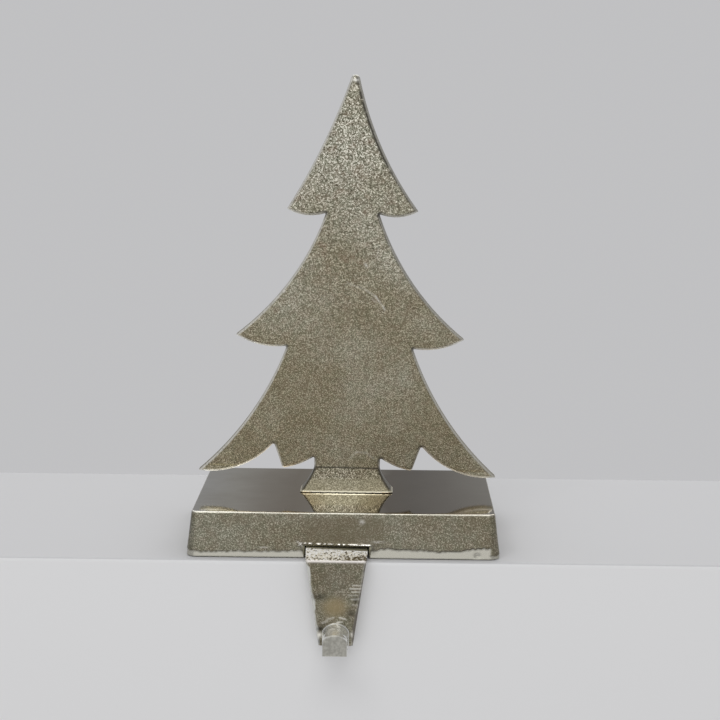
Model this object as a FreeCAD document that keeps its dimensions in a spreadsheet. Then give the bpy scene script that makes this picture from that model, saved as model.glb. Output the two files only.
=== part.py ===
import FreeCAD, Part
import os
import re
import Sketcher
from FreeCAD import Placement, Rotation, Vector

# Mantel stocking holder, in millimetres. X runs to the right, Y to the back and Z up.
# The origin is the middle of the felt's underside, so the shelf's top is the plane z = 0
# and the hook hangs below it, in front of the shelf's edge.

doc = FreeCAD.newDocument("StockingHolder")

# How near an edge lies to the place that it is picked by, and the same for a rounded place
slack = 0.01
loose_slack = 0.1

# Driving dimensions, one named cell each: lengths in millimetres, angles in degrees
sizes = {
    # base casting
    "base_width": 115.0,
    "base_depth": 72.0,
    "base_height": 16.7,
    "base_draft": 7.5,
    "base_corner_radius": 2.0,
    "base_edge_radius": 0.9,
    "base_wall": 5.0,
    "top_wall": 4.5,
    "core_draft": 3.0,
    "core_corner_radius": 5.0,
    # felt
    "felt_thickness": 0.6,
    "felt_inset": 1.5,
    # notch in the front wall, where the hook's tongue comes out
    "notch_side_gap": 1.0,
    "notch_top_gap": 0.9,
    "notch_lip_radius": 1.0,
    # tree plate, heights above the foot's seat and half widths from its axis
    "tree_lean": 0.85,
    "tree_offset": 0.45,
    "tree_height": 163.4,
    "plate_thickness": 6.0,
    "plate_edge_radius": 1.2,
    "tip_radius": 1.75,
    "tip_angle": 21.0,
    "upper_tip_reach": 25.4,
    "upper_tip_height": 111.8,
    "upper_neck_reach": 10.3,
    "upper_neck_height": 110.5,
    "middle_tip_reach": 44.7,
    "middle_tip_height": 62.0,
    "middle_neck_reach": 24.7,
    "middle_neck_height": 58.0,
    "lower_tip_reach": 59.0,
    "lower_tip_height": 7.2,
    "lower_notch_reach": 29.2,
    "lower_notch_height": 19.2,
    "lobe_reach": 25.6,
    "lobe_height": 8.9,
    "trunk_reach": 13.0,
    "trunk_height": 13.9,
    "upper_flank_radius_left": 255.0,
    "upper_flank_radius_right": 130.0,
    "middle_flank_radius": 104.0,
    "lower_flank_radius": 122.0,
    "upper_skirt_radius": 17.0,
    "middle_skirt_radius": 29.0,
    "lower_skirt_radius": 33.0,
    "lobe_skirt_radius": 30.0,
    "notch_round": 0.9,
    "lobe_round": 1.3,
    # foot that spreads under the plate, from its widest section, which the level seat cuts away
    "foot_width": 38.9,
    "foot_depth": 11.55,
    "foot_overrun": 0.96,
    "foot_height": 9.6,
    "foot_neck_inset": 0.15,
    "foot_waist_width": 30.4,
    "foot_waist_depth": 7.6,
    "foot_waist_height": 4.6,
    "foot_corner_radius": 1.3,
    # hook casting
    "hook_offset": -2.25,
    "tongue_width": 23.4,
    "tongue_thickness": 3.0,
    "tongue_clearance": 0.2,
    "tongue_end_margin": 6.0,
    "arm_reach": 8.8,
    "arm_thickness": 5.5,
    "arm_drop": 31.2,
    "shoulder_height": 1.8,
    "shoulder_start": 0.8,
    "bend_radius": 2.8,
    "arm_edge_radius": 0.9,
    "shoulder_radius": 0.8,
    # peg at the foot of the arm
    "peg_side_margin": 1.7,
    "peg_length": 12.3,
    "peg_root_width": 9.6,
    "peg_root_side": 5.6,
    "peg_root_crown": 8.5,
    "peg_end_width": 9.1,
    "peg_end_side": 5.7,
    "peg_end_crown": 8.2,
    "peg_root_fillet": 0.75,
    "peg_end_chamfer": 0.35,
    # machine screws
    "screw_width": 4.0,
    "thread_gap": 0.05,
    "hole_gap": 0.25,
    "pan_head_width": 8.0,
    "pan_head_height": 2.8,
    "pan_head_chamfer": 1.1,
    "sunk_head_width": 8.0,
    "drive_width": 4.4,
    "drive_slot": 1.1,
    "drive_depth": 1.5,
    "drive_taper": 8.0,
    "screw_tip_chamfer": 0.6,
    "tree_screw_spacing": 20.0,
    "tree_screw_bite": 7.5,
    "hook_screw_setback": 5.0,
    "hook_screw_rear_gap": 7.5,
    "hook_screw_bite": 6.0,
    "weight_screw_inset": 11.0,
    "weight_screw_bite": 3.6,
    "tap_run": 0.8,
    # pads cast under the top wall
    "hook_pad_width": 11.0,
    "hook_pad_end_flat": 1.0,
    "weight_pad_width": 12.0,
    "weight_pad_height": 2.0,
    # balance weight, by its gaps to the walls, the felt and the tree's screws
    "weight_side_gap": 6.0,
    "weight_back_gap": 2.4,
    "weight_front_gap": 4.0,
    "weight_floor_gap": 2.2,
    "weight_corner_radius": 3.0,
    "weight_edge_chamfer": 0.8,
    "weight_counterbore": 3.6,
    "counterbore_gap": 0.5,
    # how far a cutting outline runs past what it cuts
    "cut_margin": 10.0,
}

sheet = doc.addObject("Spreadsheet::Sheet", "Sizes")
for row, (name, value) in enumerate(sizes.items(), start=1):
    sheet.set(f"A{row}", name)
    sheet.set(f"B{row}", str(value))
    sheet.setAlias(f"B{row}", name)
doc.recompute()


def cell(expression):
    """Put the sheet's name before every size in an expression."""
    return re.sub(r"[a-z_]+", lambda word: f"Sizes.{word[0]}" if word[0] in sizes else word[0], expression)


def number(expression):
    """Today's value of an expression on the sheet."""
    return float(sheet.evalExpression(cell(expression)))


def bind(item, settings):
    """Bind properties of an object to expressions on the sheet."""
    for name, expression in settings.items():
        item.setExpression(name, cell(expression))


# Levels and places that several pieces share
rim_level = "felt_thickness"
seat_level = "felt_thickness + base_height"
ceiling_level = "felt_thickness + base_height - top_wall"
tongue_bottom = "felt_thickness + tongue_clearance"
tongue_top = "felt_thickness + tongue_clearance + tongue_thickness"
draft_run = "base_height * tan(base_draft * 1 deg)"
base_front = f"base_depth / 2 + {draft_run}"
arm_front = f"({base_front} + arm_reach)"
arm_foot_width = "(peg_root_width + 2 * peg_side_margin)"
hook_screw_front = "(base_depth / 2 - base_wall - hook_screw_setback)"
hook_screw_back = "(pan_head_width / 2 + hook_screw_rear_gap)"
hook_screw_middle = f"({hook_screw_front} + {hook_screw_back}) / 2"
weight_length = f"(base_width + 2 * {draft_run} - 2 * base_wall - 2 * weight_side_gap)"
weight_front = "(pan_head_width / 2 + weight_front_gap)"
weight_back = f"({base_front} - base_wall - weight_back_gap)"
weight_middle = f"({weight_front} + {weight_back}) / 2"
weight_bottom = "(felt_thickness + weight_floor_gap)"
weight_top = f"({ceiling_level} - weight_pad_height)"
weight_thickness = f"({weight_top} - {weight_bottom})"
weight_screw_place = f"({weight_length} / 2 - weight_screw_inset)"
hole_radius = "screw_width / 2 + hole_gap"
tap_radius = "screw_width / 2 + thread_gap"


def new_body(name):
    body = doc.addObject("PartDesign::Body", name)
    body.Label = name
    return body


def new_sketch(body, name, plane, height="0", tilt=None):
    """Sketch on one of the body's own planes, raised along that plane's normal."""
    sketch = body.newObject("Sketcher::SketchObject", name)
    support = next(part for part in body.Origin.OriginFeatures if part.Role == plane)
    sketch.AttachmentSupport = (support, [""])
    sketch.MapMode = "FlatFace"
    if tilt:
        sketch.AttachmentOffset = Placement(Vector(), Rotation(Vector(0, 1, 0), number(tilt)))
        bind(sketch, {"AttachmentOffset.Rotation.Angle": f"({tilt}) * 1 deg"})
    bind(sketch, {"AttachmentOffset.Base.z": height})
    return sketch


def bind_last(sketch, expression):
    sketch.setExpression(f"Constraints[{sketch.ConstraintCount - 1}]", cell(expression))


def place_point(sketch, geometry, point, x, y):
    """Hold one point of a sketch at two expressions, measured from the sketch's origin."""
    sketch.addConstraint(Sketcher.Constraint("DistanceX", -1, 1, geometry, point, number(x)))
    bind_last(sketch, x)
    sketch.addConstraint(Sketcher.Constraint("DistanceY", -1, 1, geometry, point, number(y)))
    bind_last(sketch, y)


def arc_between(start, end, radius, bulge):
    """Arc from start to end; it bulges to the left of its travel where bulge is 1."""
    chord = end - start
    left = Vector(-chord.y, chord.x, 0).normalize()
    rise = radius - (radius ** 2 - chord.Length ** 2 / 4) ** 0.5
    return Part.Arc(start, (start + end) / 2 + left * rise * bulge, end)


def draw_chain(sketch, corners, stretches):
    """Closed chain of straight and round stretches through bound corners.

    A stretch is None where it is straight, or a pair: the arc's radius and its bulge."""
    places = [Vector(number(x), number(y), 0) for x, y in corners]
    first = sketch.GeometryCount
    ends = []
    for start, end, stretch in zip(places, places[1:] + places[:1], stretches):
        if stretch is None:
            index = sketch.addGeometry(Part.LineSegment(start, end), False)
            ends.append((1, 2))
            continue
        radius, bulge = stretch
        index = sketch.addGeometry(arc_between(start, end, number(radius), bulge), False)
        # an arc runs anticlockwise, so one that bulges to the left ends where it starts
        ends.append((1, 2) if bulge < 0 else (2, 1))
        sketch.addConstraint(Sketcher.Constraint("Radius", index, number(radius)))
        bind_last(sketch, radius)
    for step, (x, y) in enumerate(corners):
        after = (step + 1) % len(corners)
        here = Sketcher.Constraint("Coincident", first + step, ends[step][1], first + after, ends[after][0])
        sketch.addConstraint(here)
        place_point(sketch, first + step, ends[step][0], x, y)


def draw_rectangle(sketch, width, depth, radius, x="0", y="0"):
    """Rectangle with rounded corners about a bound middle."""
    corners = []
    stretches = []
    for across, along in ((1, -1), (1, 1), (-1, 1), (-1, -1)):
        flat_x = f"{x} + {across} * (({width}) / 2 - {radius})"
        flat_y = f"{y} + {along} * (({depth}) / 2 - {radius})"
        side_x = f"{x} + {across} * ({width}) / 2"
        side_y = f"{y} + {along} * ({depth}) / 2"
        ends = [(flat_x, side_y), (side_x, flat_y)]
        corners += ends if across * along < 0 else ends[::-1]
        stretches += [(radius, -1), None]
    draw_chain(sketch, corners, stretches)


def draw_circle(sketch, radius, x="0", y="0"):
    middle = Vector(number(x), number(y), 0)
    index = sketch.addGeometry(Part.Circle(middle, Vector(0, 0, 1), number(radius)), False)
    sketch.addConstraint(Sketcher.Constraint("Radius", index, number(radius)))
    bind_last(sketch, radius)
    place_point(sketch, index, 3, x, y)


def pad(body, sketch, name, length, settings=None, both_ways=False, reverse=False):
    feature = body.newObject("PartDesign::Pad", name)
    feature.Profile = sketch
    feature.SideType = "Symmetric" if both_ways else "One side"
    feature.Reversed = reverse
    bind(feature, {"Length": length, **(settings or {})})
    doc.recompute()
    return feature


def pocket(body, sketch, name, length, settings=None, both_ways=False, reverse=False):
    """Cut that has to take material away."""
    before = body.Shape.Volume
    feature = body.newObject("PartDesign::Pocket", name)
    feature.Profile = sketch
    feature.SideType = "Symmetric" if both_ways else "One side"
    feature.Reversed = reverse
    bind(feature, {"Length": length, **(settings or {})})
    doc.recompute()
    if body.Shape.Volume >= before:
        raise RuntimeError(f"{name} cuts nothing")
    return feature


def dress(body, kind, name, picks, size, expression):
    """Fillet or chamfer on the edges of the body's tip that a test picks."""
    base = body.Tip
    edges = [f"Edge{i}" for i, edge in enumerate(base.Shape.Edges, start=1) if picks(edge)]
    feature = body.newObject(f"PartDesign::{kind}", name)
    feature.Base = (base, edges)
    bind(feature, {size: expression})
    doc.recompute()
    return feature


def near(value, expression, reach=slack):
    return abs(value - number(expression)) < reach


def is_level(edge):
    return edge.BoundBox.ZLength < slack


def on_level(edge, level):
    return near(edge.BoundBox.ZMin, level) and near(edge.BoundBox.ZMax, level)


def make_base():
    body = new_body("base_casting")
    outside = new_sketch(body, "BaseOutline", "XY_Plane", rim_level)
    draw_rectangle(outside, f"(base_width + 2 * {draft_run})", f"(base_depth + 2 * {draft_run})",
                   "base_corner_radius")
    pad(body, outside, "BaseBlock", "base_height", {"TaperAngle": "-1 * base_draft * 1 deg"})
    dress(body, "Fillet", "BaseTopRound", lambda edge: on_level(edge, seat_level),
          "Radius", "base_edge_radius")

    inside = new_sketch(body, "CoreOutline", "XY_Plane", rim_level)
    draw_rectangle(inside, f"(base_width + 2 * {draft_run} - 2 * base_wall)",
                   f"(base_depth + 2 * {draft_run} - 2 * base_wall)", "core_corner_radius")
    pocket(body, inside, "Core", "base_height - top_wall",
           {"TaperAngle": "-1 * core_draft * 1 deg"}, reverse=True)

    hook_pad = new_sketch(body, "HookPadOutline", "XY_Plane", tongue_top)
    draw_rectangle(hook_pad, "hook_pad_width", f"({hook_screw_front} - {hook_screw_back} + hook_pad_width)",
                   "(hook_pad_width - hook_pad_end_flat) / 2", "hook_offset", f"-1 * {hook_screw_middle}")
    pad(body, hook_pad, "HookPad", f"{ceiling_level} - ({tongue_top})")
    weight_pads = new_sketch(body, "WeightPadOutlines", "XY_Plane", weight_top)
    for side in (-1, 1):
        draw_circle(weight_pads, "weight_pad_width / 2", f"{side} * {weight_screw_place}", weight_middle)
    pad(body, weight_pads, "WeightPads", "weight_pad_height")

    notch = new_sketch(body, "NotchOutline", "XZ_Plane", base_front)
    left = "hook_offset - tongue_width / 2 - notch_side_gap"
    right = "hook_offset + tongue_width / 2 + notch_side_gap"
    top = f"{tongue_top} + notch_top_gap"
    draw_chain(notch, [(left, "0"), (right, "0"), (right, top), (left, top)], [None] * 4)
    pocket(body, notch, "Notch", f"base_wall + {draft_run}")
    dress(body, "Fillet", "NotchLip", is_notch_front, "Radius", "notch_lip_radius")

    tree_holes = new_sketch(body, "TreeScrewHoles", "XY_Plane", seat_level)
    for side in (-1, 1):
        draw_circle(tree_holes, hole_radius, f"tree_offset + {side} * tree_screw_spacing / 2")
    pocket(body, tree_holes, "TreeScrewPassages", "top_wall")
    hook_taps = new_sketch(body, "HookScrewTaps", "XY_Plane", tongue_top)
    for place in (hook_screw_front, hook_screw_back):
        draw_circle(hook_taps, tap_radius, "hook_offset", f"-1 * {place}")
    pocket(body, hook_taps, "HookTaps", "hook_screw_bite + tap_run", reverse=True)
    weight_taps = new_sketch(body, "WeightScrewTaps", "XY_Plane", weight_top)
    for side in (-1, 1):
        draw_circle(weight_taps, tap_radius, f"{side} * {weight_screw_place}", weight_middle)
    pocket(body, weight_taps, "WeightTaps", "weight_screw_bite + tap_run", reverse=True)
    return body


def is_notch_front(edge):
    """Edges of the notch that lie on the base's drafted front face."""
    slope = number("tan(base_draft * 1 deg)")
    for vertex in edge.Vertexes:
        face_y = -number(base_front) + (vertex.Z - number(rim_level)) * slope
        if abs(vertex.Y - face_y) > slack:
            return False
    reach = number("tongue_width / 2 + notch_side_gap") + loose_slack
    return near(edge.CenterOfMass.x, "hook_offset", reach) and edge.Length < 2 * reach


def tree_side(side):
    """Corners and stretches of one side of the plate, from the tip down to the foot."""
    upper_flank = "upper_flank_radius_left" if side < 0 else "upper_flank_radius_right"
    path = [
        ("tip_radius * cos(tip_angle * 1 deg)", "tree_height - tip_radius * (1 - sin(tip_angle * 1 deg))",
         (upper_flank, -1)),
        ("upper_tip_reach", "upper_tip_height", ("upper_skirt_radius", 1)),
        ("upper_neck_reach", "upper_neck_height", ("middle_flank_radius", -1)),
        ("middle_tip_reach", "middle_tip_height", ("middle_skirt_radius", 1)),
        ("middle_neck_reach", "middle_neck_height", ("lower_flank_radius", -1)),
        ("lower_tip_reach", "lower_tip_height", ("lower_skirt_radius", 1)),
        ("lower_notch_reach", "lower_notch_height", None),
        ("lobe_reach", "lobe_height", ("lobe_skirt_radius", 1)),
        ("trunk_reach", "trunk_height", None),
        ("trunk_reach", "foot_height / 2", None),
    ]
    return [(f"{side} * ({x})", z, stretch) for x, z, stretch in path]


def upright_at(edge, places):
    """Edges square to the plate that pass through one of some bound places."""
    if edge.BoundBox.YLength < number("plate_thickness") - slack:
        return False
    middle = edge.BoundBox.Center
    return any(near(middle.x, x, loose_slack) and near(middle.z, z, loose_slack) for x, z in places)


def both_sides(x, z):
    return [(f"{side} * ({x})", z) for side in (-1, 1)]


def make_tree():
    """Plate, leaning about its own foot: the body leans, and the foot's seat is cut level."""
    body = new_body("tree_casting")
    plate = new_sketch(body, "TreeOutline", "XZ_Plane")
    right = tree_side(1)
    left = tree_side(-1)
    corners = [(x, z) for x, z, _ in right] + [(x, z) for x, z, _ in reversed(left)]
    back_up = [stretch for _, _, stretch in reversed(left[:-1])]
    stretches = [stretch for _, _, stretch in right] + back_up + [("tip_radius", 1)]
    draw_chain(plate, corners, stretches)
    pad(body, plate, "TreePlate", "plate_thickness", both_ways=True)

    notches = both_sides("upper_neck_reach", "upper_neck_height")
    notches += both_sides("middle_neck_reach", "middle_neck_height")
    notches += both_sides("lower_notch_reach", "lower_notch_height")
    notches += both_sides("trunk_reach", "trunk_height")
    dress(body, "Fillet", "NotchRounds", lambda edge: upright_at(edge, notches), "Radius", "notch_round")
    lobes = both_sides("lobe_reach", "lobe_height")
    dress(body, "Fillet", "LobeRounds", lambda edge: upright_at(edge, lobes), "Radius", "lobe_round")
    dress(body, "Fillet", "PlateEdges", is_plate_rim, "Radius", "plate_edge_radius")

    foot = body.newObject("PartDesign::AdditiveLoft", "Foot")
    below = new_sketch(body, "FootSeatSection", "XY_Plane", "-1 * foot_overrun")
    draw_rectangle(below, "foot_width", "foot_depth", "foot_corner_radius")
    waist = new_sketch(body, "FootWaistSection", "XY_Plane", "foot_waist_height")
    draw_rectangle(waist, "foot_waist_width", "foot_waist_depth", "foot_corner_radius")
    neck = new_sketch(body, "FootNeckSection", "XY_Plane", "foot_height")
    draw_rectangle(neck, "(2 * trunk_reach - 2 * foot_neck_inset)", "(plate_thickness - 2 * foot_neck_inset)",
                   "foot_corner_radius")
    foot.Profile = below
    foot.Sections = [waist, neck]
    doc.recompute()

    seat = new_sketch(body, "SeatCut", "XY_Plane", tilt="-1 * tree_lean")
    draw_rectangle(seat, "(foot_width + cut_margin)", "(foot_depth + cut_margin)", "foot_corner_radius")
    pocket(body, seat, "LevelSeat", "foot_height")
    taps = new_sketch(body, "TreeScrewTaps", "XY_Plane", tilt="-1 * tree_lean")
    for side in (-1, 1):
        draw_circle(taps, tap_radius, f"{side} * tree_screw_spacing / 2")
    pocket(body, taps, "TreeTaps", "tree_screw_bite + tap_run", reverse=True)

    body.Placement = Placement(Vector(), Rotation(Vector(0, 1, 0), number("tree_lean")))
    bind(body, {"Placement.Base.x": "tree_offset", "Placement.Base.z": seat_level,
                "Placement.Rotation.Angle": "tree_lean * 1 deg"})
    return body


def is_plate_rim(edge):
    """Edges of the plate's two faces, apart from the one that the foot swallows."""
    half = number("plate_thickness / 2")
    box = edge.BoundBox
    flat = box.YLength < slack and abs(abs(box.YMin) - half) < slack
    return flat and box.ZMax > number("foot_height / 2") + slack


def make_hook():
    """Tongue, bend and arm as one side view, cut to their taper, with the peg in front."""
    body = new_body("hook_casting")
    side_view = new_sketch(body, "HookSideView", "YZ_Plane")
    shoulder = f"-1 * ({base_front} + shoulder_start)"
    front = f"-1 * {arm_front}"
    back = f"-1 * ({arm_front} - arm_thickness)"
    bend_start = f"-1 * ({arm_front} - arm_thickness - bend_radius)"
    tongue_end = f"-1 * ({hook_screw_back} - tongue_end_margin)"
    foot_level = "-1 * arm_drop"
    draw_chain(side_view, [
        (tongue_end, tongue_top), (shoulder, tongue_top), (front, "shoulder_height"),
        (front, foot_level), (back, foot_level), (back, f"{tongue_bottom} - bend_radius"),
        (bend_start, tongue_bottom), (tongue_end, tongue_bottom),
    ], [None] * 5 + [("bend_radius", 1), None, None])
    pad(body, side_view, "HookBlank", "tongue_width", both_ways=True)

    taper = new_sketch(body, "HookTaper", "XZ_Plane")
    waste_side = "(tongue_width / 2 + cut_margin)"
    waste_foot = f"{foot_level} - cut_margin"
    for side in (1, -1):
        draw_chain(taper, [
            (f"{side} * tongue_width / 2", tongue_top), (f"{side} * {arm_foot_width} / 2", foot_level),
            (f"{side} * {arm_foot_width} / 2", waste_foot), (f"{side} * {waste_side}", waste_foot),
            (f"{side} * {waste_side}", tongue_top),
        ], [None] * 5)
    pocket(body, taper, "HookTaperCut", f"2 * ({arm_front} + cut_margin)", both_ways=True)
    dress(body, "Fillet", "ShoulderRounds", is_shoulder, "Radius", "shoulder_radius")
    dress(body, "Fillet", "ArmEdges", is_arm_edge, "Radius", "arm_edge_radius")

    root = new_sketch(body, "PegRoot", "XZ_Plane", arm_front)
    end = new_sketch(body, "PegEnd", "XZ_Plane", f"{arm_front} + peg_length")
    for sketch, name in ((root, "peg_root"), (end, "peg_end")):
        half = f"{name}_width / 2"
        rise = f"({name}_crown - {name}_side)"
        crown_radius = f"(({half})^2 / (2 * {rise}) + {rise} / 2)"
        shoulder_z = f"{foot_level} + {name}_side"
        draw_chain(sketch, [
            (f"-1 * {half}", foot_level), (half, foot_level),
            (half, shoulder_z), (f"-1 * {half}", shoulder_z),
        ], [None, None, (crown_radius, -1), None])
    peg = body.newObject("PartDesign::AdditiveLoft", "Peg")
    peg.Profile = root
    peg.Sections = [end]
    doc.recompute()

    holes = new_sketch(body, "HookScrewHoles", "XY_Plane", tongue_bottom)
    for place in (hook_screw_front, hook_screw_back):
        draw_circle(holes, hole_radius, "0", f"-1 * {place}")
    pocket(body, holes, "HookScrewPassages", "tongue_thickness", reverse=True)
    dress(body, "Chamfer", "HookCountersinks", is_sunk_rim, "Size", f"sunk_head_width / 2 - ({hole_radius})")

    dress(body, "Fillet", "PegRootFillet", is_peg_root, "Radius",
          "min(peg_root_fillet; peg_side_margin - arm_edge_radius)")
    dress(body, "Chamfer", "PegEndEdges", is_peg_end, "Size", "peg_end_chamfer")
    bind(body, {"Placement.Base.x": "hook_offset"})
    return body


def is_sunk_rim(edge):
    """Rims of the screw holes on the tongue's underside."""
    return on_level(edge, tongue_bottom) and near(edge.BoundBox.XLength, f"2 * ({hole_radius})")


def is_peg_root(edge):
    """The arch where the peg leaves the arm, apart from its flat foot."""
    box = edge.BoundBox
    on_arm = box.YLength < slack and near(box.YMin, f"-1 * {arm_front}")
    side = near(abs(box.XMin), "peg_root_width / 2") and near(box.ZLength, "peg_root_side")
    crown = near(box.XLength, "peg_root_width", loose_slack) and box.ZLength > loose_slack
    return on_arm and (side or crown)


def is_peg_end(edge):
    return edge.BoundBox.YLength < slack and near(edge.BoundBox.YMin, f"-1 * ({arm_front} + peg_length)")


def is_shoulder(edge):
    """The two creases across the bend's outer side."""
    box = edge.BoundBox
    crease = near(box.YMin, f"-1 * {arm_front}") and near(box.ZMin, "shoulder_height")
    corner = near(box.YMin, f"-1 * ({base_front} + shoulder_start)") and near(box.ZMin, tongue_top)
    return box.YLength < slack and is_level(edge) and (crease or corner)


def is_arm_edge(edge):
    """The arm's two long front edges."""
    box = edge.BoundBox
    on_front = box.YLength < slack and near(box.YMin, f"-1 * {arm_front}")
    return on_front and box.ZLength > number("arm_drop / 2")


def make_felt():
    body = new_body("felt_sheet")
    outline = new_sketch(body, "FeltOutline", "XY_Plane")
    draw_rectangle(outline, f"(base_width + 2 * {draft_run} - 2 * felt_inset)",
                   f"(base_depth + 2 * {draft_run} - 2 * felt_inset)", "base_corner_radius")
    pad(body, outline, "Felt", "felt_thickness")
    return body


def make_weight():
    body = new_body("balance_weight")
    outline = new_sketch(body, "WeightOutline", "XY_Plane", weight_bottom)
    draw_rectangle(outline, weight_length, f"({weight_back} - {weight_front})", "weight_corner_radius",
                   y=weight_middle)
    pad(body, outline, "WeightBar", weight_thickness)
    dress(body, "Chamfer", "WeightEdges", is_level, "Size", "weight_edge_chamfer")
    sinks = new_sketch(body, "WeightCounterbores", "XY_Plane", weight_bottom)
    holes = new_sketch(body, "WeightHoles", "XY_Plane", weight_bottom)
    for side in (-1, 1):
        place = f"{side} * {weight_screw_place}"
        draw_circle(sinks, "pan_head_width / 2 + counterbore_gap", place, weight_middle)
        draw_circle(holes, hole_radius, place, weight_middle)
    pocket(body, sinks, "WeightSinks", "weight_counterbore", reverse=True)
    pocket(body, holes, "WeightPassages", weight_thickness, reverse=True)
    return body


def make_screw(name, shank, head_profile, x, y, level):
    """One machine screw, standing on its head, with a cross recess cut in the head from below."""
    body = new_body(name)
    half = new_sketch(body, f"{name}_profile", "XZ_Plane")
    corners, stretches = head_profile
    draw_chain(half, corners + [
        ("screw_width / 2", f"{shank} - screw_tip_chamfer"), ("screw_width / 2 - screw_tip_chamfer", shank),
        ("0", shank),
    ], stretches + [None, None, None])
    turn = body.newObject("PartDesign::Revolution", f"{name}_turned")
    turn.Profile = half
    turn.ReferenceAxis = (half, ["V_Axis"])
    turn.Angle = 360
    doc.recompute()
    recess = new_sketch(body, f"{name}_recess", "XY_Plane", corners[0][1])
    wide = "drive_width / 2"
    thin = "drive_slot / 2"
    star = []
    for across, along in ((1, 1), (-1, 1), (-1, -1), (1, -1)):
        arms = [(f"{across} * {wide}", f"{along} * {thin}"), (f"{across} * {thin}", f"{along} * {thin}"),
                (f"{across} * {thin}", f"{along} * {wide}")]
        star += arms if across * along > 0 else arms[::-1]
    draw_chain(recess, star, [None] * len(star))
    pocket(body, recess, f"{name}_cross", "drive_depth",
           {"TaperAngle": "-1 * drive_taper * 1 deg"}, reverse=True)
    bind(body, {"Placement.Base.x": x, "Placement.Base.y": y, "Placement.Base.z": level})
    return body


def screw_pair(name, single, normal, middle):
    """Two like screws as one group: the second mirrors the first."""
    twin = doc.addObject("Part::Mirroring", f"{name}_twin")
    twin.Source = single
    twin.Normal = normal
    bind(twin, {f"Base.{axis}": place for axis, place in middle.items()})
    pair = doc.addObject("Part::Compound", name)
    pair.Label = name
    pair.Links = [single, twin]
    return pair


def pan_head():
    """Head below the level 0, shank above it, as a profile from the axis outwards."""
    bottom = "-1 * pan_head_height"
    brim = "pan_head_width / 2"
    return ([("0", bottom), (f"{brim} - pan_head_chamfer", bottom), (brim, f"{bottom} + pan_head_chamfer"),
             (brim, "0"), ("screw_width / 2", "0")], [None] * 5)


def sunk_head():
    """Countersunk head whose flat lies at the level 0."""
    rise = "(sunk_head_width - screw_width) / 2"
    return [("0", "0"), ("sunk_head_width / 2", "0"), ("screw_width / 2", rise)], [None, None, None]


def make_screws():
    tree = make_screw("tree_screw", "top_wall + tree_screw_bite", pan_head(),
                      "tree_offset - tree_screw_spacing / 2", "0", ceiling_level)
    hook = make_screw("hook_screw", "tongue_thickness + hook_screw_bite", sunk_head(),
                      "hook_offset", f"-1 * {hook_screw_front}", tongue_bottom)
    weight = make_screw("weight_screw", f"{weight_thickness} - weight_counterbore + weight_screw_bite",
                        pan_head(), f"-1 * {weight_screw_place}", weight_middle,
                        f"{weight_bottom} + weight_counterbore")
    return [
        screw_pair("tree_screws", tree, Vector(1, 0, 0), {"x": "tree_offset"}),
        screw_pair("hook_screws", hook, Vector(0, 1, 0), {"y": f"-1 * {hook_screw_middle}"}),
        screw_pair("weight_screws", weight, Vector(1, 0, 0), {"x": "0"}),
    ]


nodes = [make_base(), make_tree(), make_hook(), make_felt(), make_weight(), *make_screws()]
doc.recompute()

for item in doc.Objects:
    if {"Invalid", "Error"} & set(item.State):
        raise RuntimeError(f"{item.Name} failed: {item.State}")
for node in nodes:
    if node.Shape.isNull() or not node.Shape.isValid():
        raise RuntimeError(f"{node.Label} has no valid shape")

os.makedirs("parts", exist_ok=True)
for node in nodes:
    node.Shape.exportStep(f"parts/{node.Label}.step")
    box = node.Shape.optimalBoundingBox()
    print(f"{node.Label}: {len(node.Shape.Solids)} solids, {node.Shape.Volume / 1000:.2f} cm3, "
          f"x {box.XMin:.1f} {box.XMax:.1f}, y {box.YMin:.1f} {box.YMax:.1f}, "
          f"z {box.ZMin:.1f} {box.ZMax:.1f}")
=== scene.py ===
import bmesh
import bpy
import numpy as np
from mathutils import Matrix, Vector
from mathutils.geometry import delaunay_2d_cdt


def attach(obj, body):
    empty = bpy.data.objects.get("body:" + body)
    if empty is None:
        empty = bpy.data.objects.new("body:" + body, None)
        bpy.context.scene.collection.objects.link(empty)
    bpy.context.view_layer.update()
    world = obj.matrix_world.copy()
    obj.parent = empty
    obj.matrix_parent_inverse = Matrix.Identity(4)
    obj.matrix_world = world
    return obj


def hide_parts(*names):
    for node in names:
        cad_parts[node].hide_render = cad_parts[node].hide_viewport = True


# Mantel stocking holder: three nickel-plated sand castings, felt, and the screws and iron bar inside.
# Shapes are worked out in millimetres and put into the meshes in metres, in the frame of the CAD parts.

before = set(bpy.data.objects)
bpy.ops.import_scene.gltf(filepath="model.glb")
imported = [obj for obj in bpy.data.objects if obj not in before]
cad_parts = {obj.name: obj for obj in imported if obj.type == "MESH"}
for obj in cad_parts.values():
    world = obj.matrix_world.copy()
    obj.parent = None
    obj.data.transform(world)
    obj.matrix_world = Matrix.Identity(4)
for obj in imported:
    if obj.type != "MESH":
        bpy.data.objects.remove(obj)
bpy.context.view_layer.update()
mm = 0.001
scene = bpy.context.scene
scene.view_settings.view_transform = "Standard"


# camera

cameraSettings = {
    "place": (14.91, -640.9, 178.21),  # millimetres
    "pitch": -9.587,  # degrees below the horizon
    "yaw": 0.852,
    "roll": -0.479,
    "focalPixels": 1650.0,  # focal length in pixels of the 720 pixel image
    "imagePixels": 720.0,
    "sensor": 36.0,
}


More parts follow.
